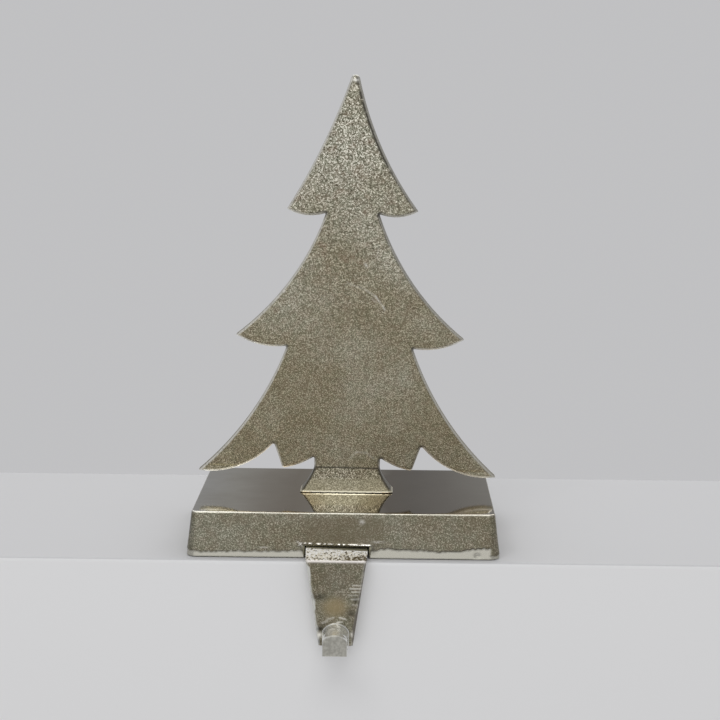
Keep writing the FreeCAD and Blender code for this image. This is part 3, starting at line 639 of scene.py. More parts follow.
def makeBase():
    b = base
    ring, out = roundedRing(*b["halfTop"], b["cornerRadius"])
    z, offset, notchRow = baseLevels()
    x, y = ring.T
    around = runOf(ring)
    ringLength = around[-1] + np.linalg.norm(ring[0] - ring[-1])
    level = z[:, None]
    turn = around / ringLength * 2 * np.pi
    circle = np.stack([np.cos(turn), np.sin(turn)], axis=1)
    onFront = (out[:, 1] < -0.99).astype(float)
    # ground band: follows the listed heights along the front and slow waves elsewhere
    height = 2.2 + 0.7 * waves(circle * ringLength / 6, 5, 14, 60, 16)
    height = np.clip(height, 1.0, 4.0) * (1 - onFront) + onFront * np.interp(x, *np.array(b["bandFront"]).T)
    height = height + 0.16 * waves(circle * ringLength / 6, 6, 1.5, 4, 20)
    band = 1 - smooth(-0.15, 0.15, level - b["bottom"] - height)
    # notch lip: rounded inwards all round the opening
    left, right = b["notch"]
    low, high = b["cornerReach"]
    reach = low + (high - low) * smooth(1, b["notchTop"], level)
    beside = np.maximum(np.maximum(left - x, x - right), 0) / reach
    above = np.maximum(level - b["notchTop"], 0) / b["lipRadius"]
    fromNotch = np.where(onFront > 0, np.hypot(beside, above), 9)
    lip = b["lipRadius"] * (1 - np.sqrt(1 - np.clip(1 - fromNotch, 0, 1) ** 2))
    rough = (1 - band) * smooth(-0.3, 0.1, b["top"] - b["edgeRadius"] - level) * smooth(0.25, 0.6, fromNotch)
    place = np.stack([*(circle.T[:, None] * ringLength / 6 * np.ones_like(level)[None]),
                      level * np.ones_like(x)], axis=-1).reshape(-1, 3)
    grain = waves(place, 31, 1.2, 2.4, 60).reshape(len(z), -1)
    swell = waves(place, 32, 8, 25, 24).reshape(len(z), -1)
    relief = np.minimum(0.02 * (0.5 * grain + 0.4 * swell - 1.7), 0) * rough
    dents = spots(x[None] * np.ones_like(level), level, b["nicks"]) * onFront
    # the burr is chipped to the left and whole to the right
    chips = 0.62 + 0.9 * np.sin(x * 2.5 + 1.3 * np.sin(x * 0.9)) * smooth(5, -1, x) + smooth(-2, 6, x) * 0.4
    along = onFront * smooth(-16.6, -15.6, x) * smooth(10.9, 10.4, x) * np.clip(chips, 0, 1)
    ridgeLevel = b["ridgeLevel"] + b["ridgeSlope"] * (x + 2.25)
    ridge = bell(level - ridgeLevel, 0.2 + 0.1 * smooth(-4, 8, x)) * along
    inset = offset[:, None] - b["bandDepth"] * band + relief - lip - dents + b["ridge"] * ridge
    wall = np.stack([x + out[:, 0] * inset, y + out[:, 1] * inset, level * np.ones_like(x)], axis=-1)
    beyond = np.maximum(np.abs(x - 0.3) - 13, 0)
    stain = onFront * smooth(5, 0, beyond) * smooth(16.6, 14.4, level) * smooth(5, 6.2, level)
    places = x[None] * np.ones_like(level)
    # the scratches, and a painted highlight along the burr
    bright = (spots(places, level, b["scratches"]) + strokes(places, level, b["cross"])) * onFront + ridge
    fade = onFront * (0.35 + 0.65 * smooth(8, 14, x)) + (1 - onFront) * 0.5
    # painted shade along the step over the ground band, a painted dark reflection on the left corner and
    # painted shade beside the notch
    line = bell(level - b["bottom"] - height - 0.25, 0.22) * fade * smooth(0.5, 2.5, fromNotch)
    leftCorner = np.hypot(x + b["halfTop"][0] - 0.12, y + b["halfTop"][1] - 1.3)
    line = line + bell(leftCorner, 0.75) * (0.4 + 0.6 * smooth(6, 11, level)) * (1 - band)
    line = np.clip(line + spots(places, level, b["shades"]) * onFront, 0, 1)
    marks = {"rough": rough, "line": line, "stain": stain, "bright": np.clip(bright, 0, 1),
             "inner": smooth(0.5, 0.1, fromNotch)}

    core, inward = roundedRing(*b["coreHalf"], b["coreCorner"])
    stretch = (b["notchTop"] - b["bottom"]) / (b["notchTop"] - b["skirt"])
    coreLevels = b["bottom"] + (z[:notchRow + 1] - b["skirt"]) * stretch
    coreLevels = np.concatenate([coreLevels, np.linspace(b["notchTop"], b["ceiling"], 4)[1:]])
    narrowing = (coreLevels - b["bottom"]) * np.tan(np.radians(b["coreDraft"]))
    coreX, coreY = (core[:, k] - inward[:, k] * narrowing[:, None] for k in range(2))
    hollow = np.stack([coreX, coreY, coreLevels[:, None] * np.ones(len(core))], axis=-1)
    columns = np.where(onFront > 0)[0]
    first, last = (columns[np.argmin(np.abs(x[columns] - edge))] for edge in (left, right))
    inNotch = np.zeros(len(x), bool)
    inNotch[first:last] = True
    wallKeep = ~(inNotch & (np.arange(len(z) - 1)[:, None] < notchRow))
    hollowKeep = ~(inNotch & (np.arange(len(coreLevels) - 1)[:, None] < notchRow))
    # underside: a narrow skirt, a step up to the felt's face, and level to the hollow
    skirtEdge = wall[0] - np.column_stack([out, np.zeros(len(out))]) * b["skirtWidth"]
    stepEdge = skirtEdge + (0, 0, b["bottom"] - b["skirt"])
    under = np.concatenate([wall[:1], skirtEdge[None], bridge(stepEdge, hollow[0], 3)])
    roof = bridge(wall[notchRow], hollow[notchRow], 5)
    patches = [gridPatch(wall, True, wallKeep, marks), gridPatch(hollow, True, hollowKeep),
               gridPatch(under, True, np.tile(~inNotch, (len(under) - 1, 1))),
               gridPatch(roof[:, first:last + 1], marks={"inner": np.ones((6, last + 1 - first))})]
    for column in (first, last):
        side = np.vstack([wall[:notchRow + 1, column], roof[1:-1, column], hollow[notchRow::-1, column],
                          under[1:-1, column][::-1]])
        patches.append((side, [tuple(range(len(side)))], {"inner": np.ones(len(side))}))
    patches.append((hollow[-1], [tuple(range(len(core)))], {}))
    flat, triangles = fillFace(wall[-1][:, :2], 1.7, 1.0, 12)
    patches.append((np.column_stack([flat, np.full(len(flat), b["top"])]), triangles, {}))
    piece = pieceFrom("base_block", patches, ("rough", "line", "stain", "bright", "inner"))
    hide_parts("base_casting")
    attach(piece, "root")
    return piece


basePiece = makeBase()


# hook casting: a strap that bends over the shelf's edge and tapers to a peg with an arched section

hook = {
    "offset": -2.25,
    "tongueEnd": -5.5,
    "tongueTop": 3.8,
    "tongueBottom": 0.8,
    "shoulder": (-38.999, 3.8),  # y and z where the top leaves the level
    "brow": (-46.999, 1.8),  # y and z where the arm's front begins
    "armBack": -41.499,
    "bendRadius": 2.8,
    "foot": -31.2,
    "halfWidths": (11.7, 6.5),  # at the tongue's top and at the foot
    "edgeRadius": 0.9,
    "creaseRadius": 0.8,
    "pegLength": 12.3,
    "pegRoot": (4.8, 5.6, 8.5),  # half width, height of its sides, height of its crown
    "pegEnd": (4.55, 5.7, 8.2),
    "pegRootFillet": 0.75,
    "pegEndRound": 0.45,
    "tilt": -0.042,  # rise of the tongue's visible end for each millimetre to the right
    # file marks and dents on the arm's front: from, to, half width, strength
    "ridges": ((6.3, -7.7, 9.8, -7.5, 0.22, 0.5), (5.2, -9.0, 9.6, -8.8, 0.22, 0.7),
               (6.0, -10.2, 9.2, -10.0, 0.22, 0.6), (4.6, -11.6, 8.2, -11.5, 0.22, 0.4),
               (5.8, -13.0, 8.8, -12.9, 0.22, 0.6), (6.2, -15.2, 8.2, -15.3, 0.22, 0.3),
               (-3.2, -21.0, -0.6, -20.2, 0.25, 0.5), (1.4, -20.2, 3.6, -20.8, 0.25, 0.8),
               (0.6, -22.1, 2.4, -21.9, 0.25, 0.7), (-5.0, -22.4, -3.2, -21.6, 0.25, 0.5)),
    "nicks": ((-9.9, -7.6, 0.7, 0.9, 0.5), (-9.4, -11.4, 0.5, 0.7, 0.35)),
    # painted shade and dark reflections, and painted highlights, on the arm's front, some in the fillet by
    # the peg's root: place and level, half width and half height, strength
    "shades": ((-6.2, -12.2, 2.6, 1.3, 0.7), (7.4, -13.3, 1.0, 1.1, 0.9), (5.6, -18.4, 1.4, 1.4, 0.6),
               (-5.8, -24.6, 1.5, 1.0, 1.0), (-6.2, -29.6, 0.8, 1.2, 0.6), (-4.6, -22.8, 1.6, 0.7, 0.5)),
    "shines": ((-6.1, -27.0, 0.9, 0.9, 1.0), (6.0, -26.8, 0.5, 0.9, 0.8)),
}


def roundedPath(corners, radii):
    # straight lines joined by arcs; each arc touches both its lines
    points = [np.array([corners[0]], float)]
    for k in range(1, len(corners) - 1):
        a, corner, b = (np.array(corners[i], float) for i in (k - 1, k, k + 1))
        before, after = (a - corner) / np.linalg.norm(a - corner), (b - corner) / np.linalg.norm(b - corner)
        half = np.arccos(np.clip(before @ after, -1, 1)) / 2
        reach = radii[k] / np.tan(half)
        start, end = corner + before * reach, corner + after * reach
        centre = corner + (before + after) / np.linalg.norm(before + after) * radii[k] / np.sin(half)
        first, last = start - centre, end - centre
        share = np.linspace(0, 1, 9)[:, None]
        arc = first * np.sin((1 - share) * (np.pi - 2 * half)) + last * np.sin(share * (np.pi - 2 * half))
        points.append(centre + arc / np.sin(np.pi - 2 * half))
    points.append(np.array([corners[-1]], float))
    return np.vstack(points)


def hookHalfWidth(z):
    high, low = hook["halfWidths"]
    share = (hook["tongueTop"] - z) / (hook["tongueTop"] - hook["foot"])
    return high + (low - high) * np.clip(share, 0, 1)


def hookStations():
    # pairs of points on the strap's outer and inner side, from the tongue's end to the arm's foot
    h = hook
    outer = roundedPath([(h["tongueEnd"], h["tongueTop"]), h["shoulder"], h["brow"],
                         (h["brow"][0], h["foot"])],
                        [0, h["creaseRadius"], h["creaseRadius"], 0])
    inner = roundedPath([(h["tongueEnd"], h["tongueBottom"]), (h["armBack"], h["tongueBottom"]),
                         (h["armBack"], h["foot"])], [0, h["bendRadius"], 0])
    # both are cut where the bend begins and ends so that the pairs stay square to the strap
    bendStartY, bendEndZ = -36.6, -2.6
    dense = [spaced(path, 0.01) for path in (outer, inner)]
    parts = []
    for path in dense:
        bendStart = np.argmax(path[:, 0] < bendStartY)
        bendEnd = np.argmax(path[:, 1] < bendEndZ)
        parts.append((path[:bendStart + 1], path[bendStart:bendEnd + 1], path[bendEnd:]))
    rows = []
    for k, count in enumerate((62, 40, 68)):
        pair = []
        for path in (parts[0][k], parts[1][k]):
            run = runOf(path)
            keep = np.linspace(0, run[-1], count + 1)[:-1 if k < 2 else None]
            pair.append(pointsAt(path, run, keep))
        rows.append(np.stack(pair))
    return np.concatenate(rows, axis=1)


def archSection(half, side, crown, count=40):
    # arch outline from the left foot over the crown to the right foot and back along the flat underside
    rise = crown - side
    radius = half ** 2 / (2 * rise) + rise / 2
    reach = np.arcsin(half / radius)
    angle = np.linspace(-reach, reach, count)
    arch = np.stack([radius * np.sin(angle), side + radius * (np.cos(angle) - np.cos(reach))], axis=1)
    up = np.linspace(0, side, 11)[:-1]
    under = np.linspace(1, -1, 18)[1:-1] * half
    left = np.stack([np.full(10, -half), up], axis=1)
    right = left[::-1] * (-1, 1)
    return np.vstack([left, arch, right, np.stack([under, np.zeros(16)], axis=1)])


def makeHook():
    h = hook
    outer, inner = hookStations()
    half = hookHalfWidth(outer[:, 1])
    halfInner = hookHalfWidth(inner[:, 1])
    rounding = np.minimum(h["edgeRadius"] * smooth(-43, -46, outer[:, 0]) + 0.25, h["edgeRadius"])
    across = np.linspace(-1, 1, 45)
    corner = np.radians(np.linspace(0, 90, 7))
    rings = []
    for k in range(len(outer)):
        # section ring: front face, right edge and side, back face, left side and edge
        depth = outer[k] - inner[k]
        thick = np.linalg.norm(depth)
        r = rounding[k]
        wide = half[k] - r
        front = np.stack([across * wide, np.full(45, thick)], axis=1)
        rightEdge = np.stack([wide + r * np.sin(corner), thick - r + r * np.cos(corner)], axis=1)[1:]
        right = np.stack([np.linspace(half[k], halfInner[k], 9), np.linspace(thick - r, 0, 9)], axis=1)[1:-1]
        back = np.stack([-across * (halfInner[k] - 0.01), np.zeros(45)], axis=1)
        left, leftEdge = right[::-1] * (-1, 1), rightEdge[::-1] * (-1, 1)
        section = np.vstack([front, rightEdge, right, back, left, leftEdge])
        share = section[:, 1:] / thick
        flat = inner[k] + depth * share
        rings.append(np.column_stack([section[:, 0], flat]))
    strap = np.array(rings)
    count = strap.shape[1]
    faces = [tuple(face) for face in gridFaces(*strap.shape[:2], True)]
    marks = strapMarks(strap)
    strap = strapRelief(strap, marks)
    points = strap.reshape(-1, 3) + (h["offset"], 0, 0)
    ends = [tuple(range(count)), tuple(range(len(points) - count, len(points)))]
    arm = pieceFrom("hook_strap", [(points, faces + ends, {})])
    peg = makePeg()
    join = arm.modifiers.new("peg", "BOOLEAN")
    join.operation = "UNION"
    join.solver = "EXACT"
    join.object = peg
    baked = bpy.data.meshes.new_from_object(arm.evaluated_get(bpy.context.evaluated_depsgraph_get()))
    arm.modifiers.clear()
    arm.data = baked
    bpy.data.objects.remove(peg)
    shadeSoft(baked, 50)
    markHook(baked)
    print("hook joined", len(baked.polygons))
    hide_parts("hook_casting")
    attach(arm, "root")
    return arm


def strapMarks(strap):
    # rough casting skin on the broad faces, ground edges, a warm patch on the arm and file marks, and where
    # painted highlights and painted shade go
    h = hook
    x, y, z = strap[..., 0], strap[..., 1], strap[..., 2]
    fromEdge = hookHalfWidth(z) - np.abs(x)
    wearAndSheen = 0.3 * waves(strap.reshape(-1, 3), 51, 2, 6, 20).reshape(x.shape)
    onArm = (y < -45.5).astype(float)
    gold = np.exp(-(((x + 0.3) / 4.8) ** 2 + ((z + 16.2) / 3.8) ** 2) ** 1.5) * onArm
    facet = smooth(-37.8, -38.9, y) * smooth(1.35, 1.75, z) * (fromEdge > -0.1)
    crease = bell(y + 46.9, 0.45) * bell(z - 1.65, 0.5)
    inner = smooth(-38.9, -37.8, y)
    bright = (strokes(x, z, h["ridges"]) + spots(x, z, h["shines"])) * onArm
    dark = spots(x, z, h["shades"])
    edge = smooth(0.9, 0.35, fromEdge + wearAndSheen) * onArm
    return {"rough": smooth(0.3, 1.1, fromEdge), "edge": edge, "gold": gold, "facet": facet, "inner": inner,
            "bright": np.clip(bright, 0, 1), "dark": np.clip(dark, 0, 1) * onArm, "crease": crease}


def markHook(mesh):
    # marks of the joined hook from where its points are: the peg is what stands in front of the arm
    h = hook
    places = np.zeros(len(mesh.vertices) * 3)
    mesh.vertices.foreach_get("co", places)
    places = places.reshape(-1, 3) / mm - (h["offset"], 0, 0)
    onPeg = places[:, 1] < h["brow"][0] - 0.12
    marks = {name: values[:, 0] * ~onPeg for name, values in strapMarks(places[:, None]).items()}
    onFace = places[:, 1] < h["brow"][0] - h["pegLength"] + h["pegEndRound"] * 0.5
    marks["crown"] = onPeg * ~onFace
    marks["face"] = onPeg * onFace
    for name, values in marks.items():
        setMark(mesh, name, values)


def strapRelief(strap, marks):
    # the skin is lowered inwards: forwards faces in y, the facet and the tongue in z; the shown end is tilted
    h = hook
    x, y, z = strap[..., 0], strap[..., 1], strap[..., 2]
    flat = strap.reshape(-1, 3)
    grain = waves(flat, 41, 1.2, 2.4, 60).reshape(x.shape)
    swell = waves(flat, 42, 6, 18, 24).reshape(x.shape)
    drop = np.minimum(0.025 * (0.5 * grain + 0.5 * swell - 1.7), 0) * marks["rough"]
    onArm = smooth(-46.4, -46.9, y) * smooth(-31.0, -30.0, z)
    onTop = (z > 1.8) * smooth(-46.9, -46.4, y) * smooth(-6, -8, y)
    moved = strap.copy()
    moved[..., 1] -= (drop + 0.09 * marks["bright"]) * onArm
    moved[..., 0] += spots(x, z, h["nicks"]) * onArm * smooth(1.6, 0.4, hookHalfWidth(z) + x)
    moved[..., 2] += drop * onTop
    moved[..., 2] += h["tilt"] * x * onTop * smooth(-30, -38, y) * smooth(1.6, 3.6, z)
    return moved


def makePeg():
    # arched section swept forwards from inside the arm, flared at its root and rounded at its end
    h = hook
    front = h["brow"][0]
    length = h["pegLength"]
    r, e = h["pegRootFillet"], h["pegEndRound"]
    root = np.radians(np.linspace(12, 90, 9))
    end = np.radians(np.linspace(0, 90, 7))[1:]
    run = np.concatenate([[-2.0, 0.0], r - r * np.cos(root), np.linspace(r, length - e, 26)[1:],
                          length - e + e * np.sin(end)])
    grow = np.concatenate([[r, r], r - r * np.sin(root), np.zeros(25), e * np.cos(end) - e])
    share = np.clip(run / length, 0, 1)
    rings = []
    for s, g, t in zip(run, grow, share):
        half, side, top = (a + (b - a) * t for a, b in zip(h["pegRoot"], h["pegEnd"]))
        section = archSection(half, side, top)
        centre = np.array([0, side * 0.6])
        away = section - centre
        tangent = np.roll(section, -1, axis=0) - np.roll(section, 1, axis=0)
        normal = np.stack([-tangent[:, 1], tangent[:, 0]], axis=1)
        normal /= np.linalg.norm(normal, axis=1, keepdims=True)
        normal *= np.sign((normal * away).sum(axis=1, keepdims=True))
        grown = section + normal * g
        grown[:, 1] = np.maximum(grown[:, 1], 0 if g >= 0 else -g)
        rings.append(np.column_stack([grown[:, 0], np.full(len(grown), front - s), grown[:, 1] + h["foot"]]))
    body = np.array(rings)
    count = body.shape[1]
    points = body.reshape(-1, 3) + (h["offset"], 0, 0)
    ends = [tuple(range(count)), tuple(range(len(points) - count, len(points)))]
    faces = [tuple(face) for face in gridFaces(*body.shape[:2], True)] + ends
    return pieceFrom("hook_peg", [(points, faces, {})])


hookPiece = makeHook()


# felt sheet under the base: its underside is on the shelf

felt = {
    "half": (58.199, 36.699),
    "cornerRadius": 2.7,
    "thickness": 0.6,
}


def makeFelt():
    # two woolly faces and a wall between them; the rows of the wall bulge a little
    f = felt
    ring, out = roundedRing(*f["half"], f["cornerRadius"])
    rows = []
    for z, inset in ((0, 0.12), (0.1, 0.03), (0.3, 0), (0.5, 0.03), (0.6, 0.12)):
        rows.append(np.column_stack([ring - out * inset, np.full(len(ring), z)]))
    wall = np.array(rows)
    patches = [gridPatch(wall, True)]
    flat, triangles = fillFace(wall[0][:, :2], 2.4, 1.2, 13)
    for level in (0, f["thickness"]):
        patches.append((np.column_stack([flat, np.full(len(flat), level)]), triangles, {}))
    piece = pieceFrom("felt_pad", patches)
    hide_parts("felt_sheet")
    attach(piece, "root")
    return piece


feltPiece = makeFelt()


# small tools for materials

class Value:
    # a shader socket with arithmetic: each operator adds one Math node
    def __init__(self, paint, socket):
        self.paint = paint
        self.socket = socket

    def math(self, operation, *others):
        return self.paint.node("ShaderNodeMath", [self, *others], operation=operation)

    def __add__(self, other):
        return self.math("ADD", other)

    def __radd__(self, other):
        return self.math("ADD", other)

    def __sub__(self, other):
        return self.math("SUBTRACT", other)

    def __rsub__(self, other):
        return self.paint.node("ShaderNodeMath", [other, self], operation="SUBTRACT")

    def __mul__(self, other):
        return self.math("MULTIPLY", other)

    def __rmul__(self, other):
        return self.math("MULTIPLY", other)

    def __truediv__(self, other):
        return self.math("DIVIDE", other)

    def ramp(self, low, high, first=0.0, last=1.0):
        # rises smoothly from first to last while the value goes from low to high
        return self.paint.node("ShaderNodeMapRange", {"Value": self, "From Min": low, "From Max": high,
                                                      "To Min": first, "To Max": last},
                               interpolation_type="SMOOTHSTEP")


class Paint:
    # nodes of a material or of the world: node() adds any node, with numbers, colours or links on its inputs
    def __init__(self, owner, shader="Principled BSDF"):
        self.owner = owner
        owner.use_nodes = True
        self.tree = owner.node_tree
        self.shader = self.tree.nodes[shader]

    def put(self, value, slot):
        if isinstance(value, Value):
            self.tree.links.new(value.socket, slot)
        elif isinstance(value, (tuple, list)) and slot.type == "RGBA":
            slot.default_value = (*value, 1)
        else:
            slot.default_value = value

    def node(self, kind, inputs=(), output=0, **settings):
        made = self.tree.nodes.new(kind)
        for name, value in settings.items():
            setattr(made, name, value)
        for name, value in inputs.items() if isinstance(inputs, dict) else enumerate(inputs):
            self.put(value, made.inputs[name])
        return Value(self, made.outputs[output])

    def place(self, scale=(1, 1, 1)):
        # object coordinates in millimetres, stretched by scale
        spot = self.node("ShaderNodeTexCoord", output="Object")
        stretch = tuple(part / mm for part in scale)
        return self.node("ShaderNodeVectorMath", [spot, stretch], operation="MULTIPLY")

    def noise(self, place, size, detail=2.0, roughness=0.5, offset=0.0):
        # fractal noise between 0 and 1 whose spots are about size millimetres wide
        moved = self.node("ShaderNodeVectorMath", [place, (offset, offset, offset)], operation="ADD")
        return self.node("ShaderNodeTexNoise", {"Vector": moved, "Scale": 1 / size, "Detail": detail,
                                                "Roughness": roughness})

    def axis(self, place, which):
        # one coordinate of a place: 0, 1 or 2 for x, y or z
        return self.node("ShaderNodeSeparateXYZ", [place], output=which)

    def mark(self, name):
        return self.node("ShaderNodeAttribute", output="Fac", attribute_name=name)

    def mix(self, share, first, last):
        # colour that goes from first to last
        made = self.tree.nodes.new("ShaderNodeMix")
        made.data_type = "RGBA"
        self.put(share, made.inputs[0])
        self.put(first, made.inputs[6])
        self.put(last, made.inputs[7])
        return Value(self, made.outputs[2])

    def stops(self, value, low, high, places):
        # colour that follows places, each a share of the way from low to high with its colour
        made = self.tree.nodes.new("ShaderNodeValToRGB")
        ramp = made.color_ramp
        while len(ramp.elements) < len(places):
            ramp.elements.new(0.5)
        for element, (share, colour) in zip(ramp.elements, places):
            element.position = share
            element.color = (*colour, 1)
        self.put((value - low) / (high - low), made.inputs[0])
        return Value(self, made.outputs[0])

    def bump(self, height, distance, strength=1.0, normal=None):
        inputs = {"Height": height, "Distance": distance * mm, "Strength": strength}
        if normal:
            inputs["Normal"] = normal
        return self.node("ShaderNodeBump", inputs)

    def finish(self, *pieces, **inputs):
        # sockets of the shader by name, with a space before each capital; then the pieces take the material
        for name, value in inputs.items():
            words = "".join(" " + letter if letter.isupper() else letter for letter in name)
            self.put(value, self.shader.inputs[words[0].upper() + words[1:]])
        for piece in pieces:
            piece.data.materials.clear()
            piece.data.materials.append(self.owner)


# plated cast metal: a grain of dark pits and bright specks on slow light and warm patches

nickel = {
    "light": (0.298, 0.287, 0.218),
    "warm": (0.205, 0.177, 0.112),
    "pit": (0.05, 0.043, 0.026),
    "speck": (0.97, 0.94, 0.82),
    "warmSpeck": (0.78, 0.71, 0.53),
    "ground": (0.50, 0.485, 0.42),
    "bright": (0.97, 0.95, 0.88),
    "shade": (0.045, 0.04, 0.028),
    "tints": ((0.982, 1.008, 0.998), (1.03, 0.989, 0.998)),  # greenish and rosy patches
    "tintSize": 3.4,
    "grainSize": 0.64,
    "fineSize": 0.34,
    "patchSize": 20.0,
    "bumpDepth": 0.2,
    "roughness": 0.36,
    "groundRoughness": 0.27,
}


def castSkin(paint, rough, warmth, contrast, fineness, tone=1.0, offset=0.0):
    # colour, roughness and bump of a cast surface; rough is 1 on the raw skin and 0 where it is ground,
    # warmth goes from the light to the warm tone, contrast scales the pits and specks, fineness goes from the
    # wide to the fine grain, tone scales the skin
    n = nickel
    place = paint.place()
    grain = paint.noise(place, n["grainSize"], 2.0, 0.6, offset)
    fine = paint.noise(place, n["fineSize"], 1.0, 0.5, offset + 7)
    patch = paint.noise(place, n["patchSize"], 3.0, 0.55, offset + 31)
    height = grain * (0.62 - fineness * 0.34) + fine * (fineness * 0.34 + 0.38)
    light, warm = (tuple(part * tone for part in n[name]) for name in ("light", "warm"))
    warmShare = ((patch - 0.5) * 1.2 + warmth).ramp(0, 1)
    skin = paint.mix(warmShare, light, warm)
    tint = paint.mix(paint.noise(place, n["tintSize"], 3.0, 0.6, offset + 50).ramp(0.4, 0.6), *n["tints"])
    skin = paint.node("ShaderNodeVectorMath", [skin, tint], operation="MULTIPLY")
    pits = height.ramp(0.49, 0.38) * contrast
    specks = (height + (0.5 - patch) * 0.03).ramp(0.51, 0.61) * contrast
    skin = paint.mix(pits, skin, n["pit"])
    skin = paint.mix(specks, skin, paint.mix(warmShare, n["speck"], n["warmSpeck"]))
    colour = paint.mix(rough, n["ground"], skin)
    roughness = (n["roughness"] - specks * 0.08 - n["groundRoughness"]) * rough + n["groundRoughness"]
    bump = paint.bump(height * rough, n["bumpDepth"])
    return colour, roughness, bump


def newPaint(name):
    return Paint(bpy.data.materials.new(name))


def paintTree(piece):
    # grain is strongest at the top and browner below; the foot is lighter, with a painted highlight line over
    # its seam and painted shadow in the seam below it
    paint = newPaint("treeNickel")
    place = paint.place()
    level = paint.axis(place, 2)
    foot = paint.mark("foot")
    height = level.ramp(50, 185)
    colour, roughness, bump = castSkin(paint, 1 - paint.mark("polish"), 0.78 - height * 0.75,
                                       0.47 + height * 0.5 + foot * 0.35, 0.8 - height * 0.8)
    colour = paint.mix(foot * 0.22, colour, nickel["pit"])
    red = paint.noise(place, 5.0, 2.0, 0.5, 77).ramp(0.55, 0.7) * level.ramp(60, 130) * 0.3
    colour = paint.mix(red, colour, (0.2, 0.12, 0.08))
    colour = paint.mix(foot * level.ramp(23.5, 22) * 0.5, colour, (0.29, 0.262, 0.175))
    # painted shade from the line mark: in the flank step, inner corners, crease and round the foot
    line = paint.mark("line")
    colour = paint.mix(line, colour, nickel["shade"])
    # painted reflections and highlights on the rounding and under the tip, and the scratches, broken by noise
    wearAndSheen = paint.mark("bright") * paint.noise(place, 0.9, 1.0, 0.5, 3).ramp(0.3, 0.5, 0.5, 1.0)
    colour = paint.mix(wearAndSheen, colour, nickel["bright"])
    # painted highlight along the foot's lowest edge, then painted contact shadow in the seam
    colour = paint.mix(level.ramp(18.3, 17.9), colour, (0.8, 0.75, 0.58))
    colour = paint.mix(level.ramp(17.62, 17.5), colour, nickel["shade"])
    metal = 1 - (line * 0.6).math("MAXIMUM", wearAndSheen * 0.55)
    paint.finish(piece, baseColor=colour, roughness=roughness, metallic=metal, normal=bump)


def paintBase(piece):
    # rough walls, a stain over the notch, painted shade and a painted highlight from the marks, and a satin
    # top whose colour is painted reflection and shade, darker to the right of the tree
    paint = newPaint("baseNickel")
    place = paint.place()
    rough = paint.mark("rough")
    across, level = paint.axis(place, 0), paint.axis(place, 2)
    colour, roughness, bump = castSkin(paint, rough, 0.5, 0.36, 0.5, 0.79, 12)
    colour = paint.mix(paint.mark("stain") * 0.55, colour, (0.16, 0.132, 0.085))
    # painted shade and a dark reflection from the line mark
    line = paint.mark("line")
    colour = paint.mix(line * 0.85, colour, nickel["shade"])
    # scratches, and the painted highlight along the burr, broken by noise
    bright = paint.mark("bright") * paint.noise(place, 0.8, 1.0, 0.5, 3).ramp(0.32, 0.45)
    colour = paint.mix(bright, colour, (0.99, 0.97, 0.92))
    cloud = paint.noise(place, 26, 3.0, 0.55, 40)
    streak = paint.noise(paint.place((0.2, 1, 1)), 2.2, 2.0, 0.6, 41)
    along = across + (cloud - 0.5) * 14
    # painted reflection and shade across the satin top from left to right, clouded and streaked
    paintedTopReflection = paint.stops(along, -58, 58, ((0.0, (1.0, 0.99, 0.93)), (0.12, (0.86, 0.82, 0.7)),
                                         (0.22, (0.62, 0.55, 0.44)), (0.33, (0.47, 0.39, 0.28)),
                                         (0.38, (0.5, 0.43, 0.32)), (0.44, (0.76, 0.75, 0.7)),
                                         (0.54, (0.76, 0.75, 0.7)), (0.6, (0.45, 0.4, 0.31)),
                                         (0.65, (0.235, 0.185, 0.12)),
                                         (0.72, (0.25, 0.21, 0.155)), (0.85, (0.37, 0.325, 0.26)),
                                         (1.0, (0.63, 0.59, 0.5))))
    paintedTopReflection = paint.mix((streak - 0.5) * 0.16 + (cloud - 0.5) * 0.4 + 0.1, paintedTopReflection, (0.3, 0.25, 0.18))
    top = level.ramp(17.1, 17.2)
    colour = paint.mix(top, colour, paintedTopReflection)
    roughness = roughness * (1 - top) + (cloud * 0.07 + streak * 0.02 + 0.015) * top
    roughness = roughness - bright * 0.15
    inner = paint.mark("inner")
    colour = paint.mix(inner, colour, (0.4, 0.38, 0.27))
    metal = 1 - (inner * 0.7).math("MAXIMUM", line * 0.6)
    paint.finish(piece, baseColor=colour, roughness=roughness, metallic=metal, normal=bump)


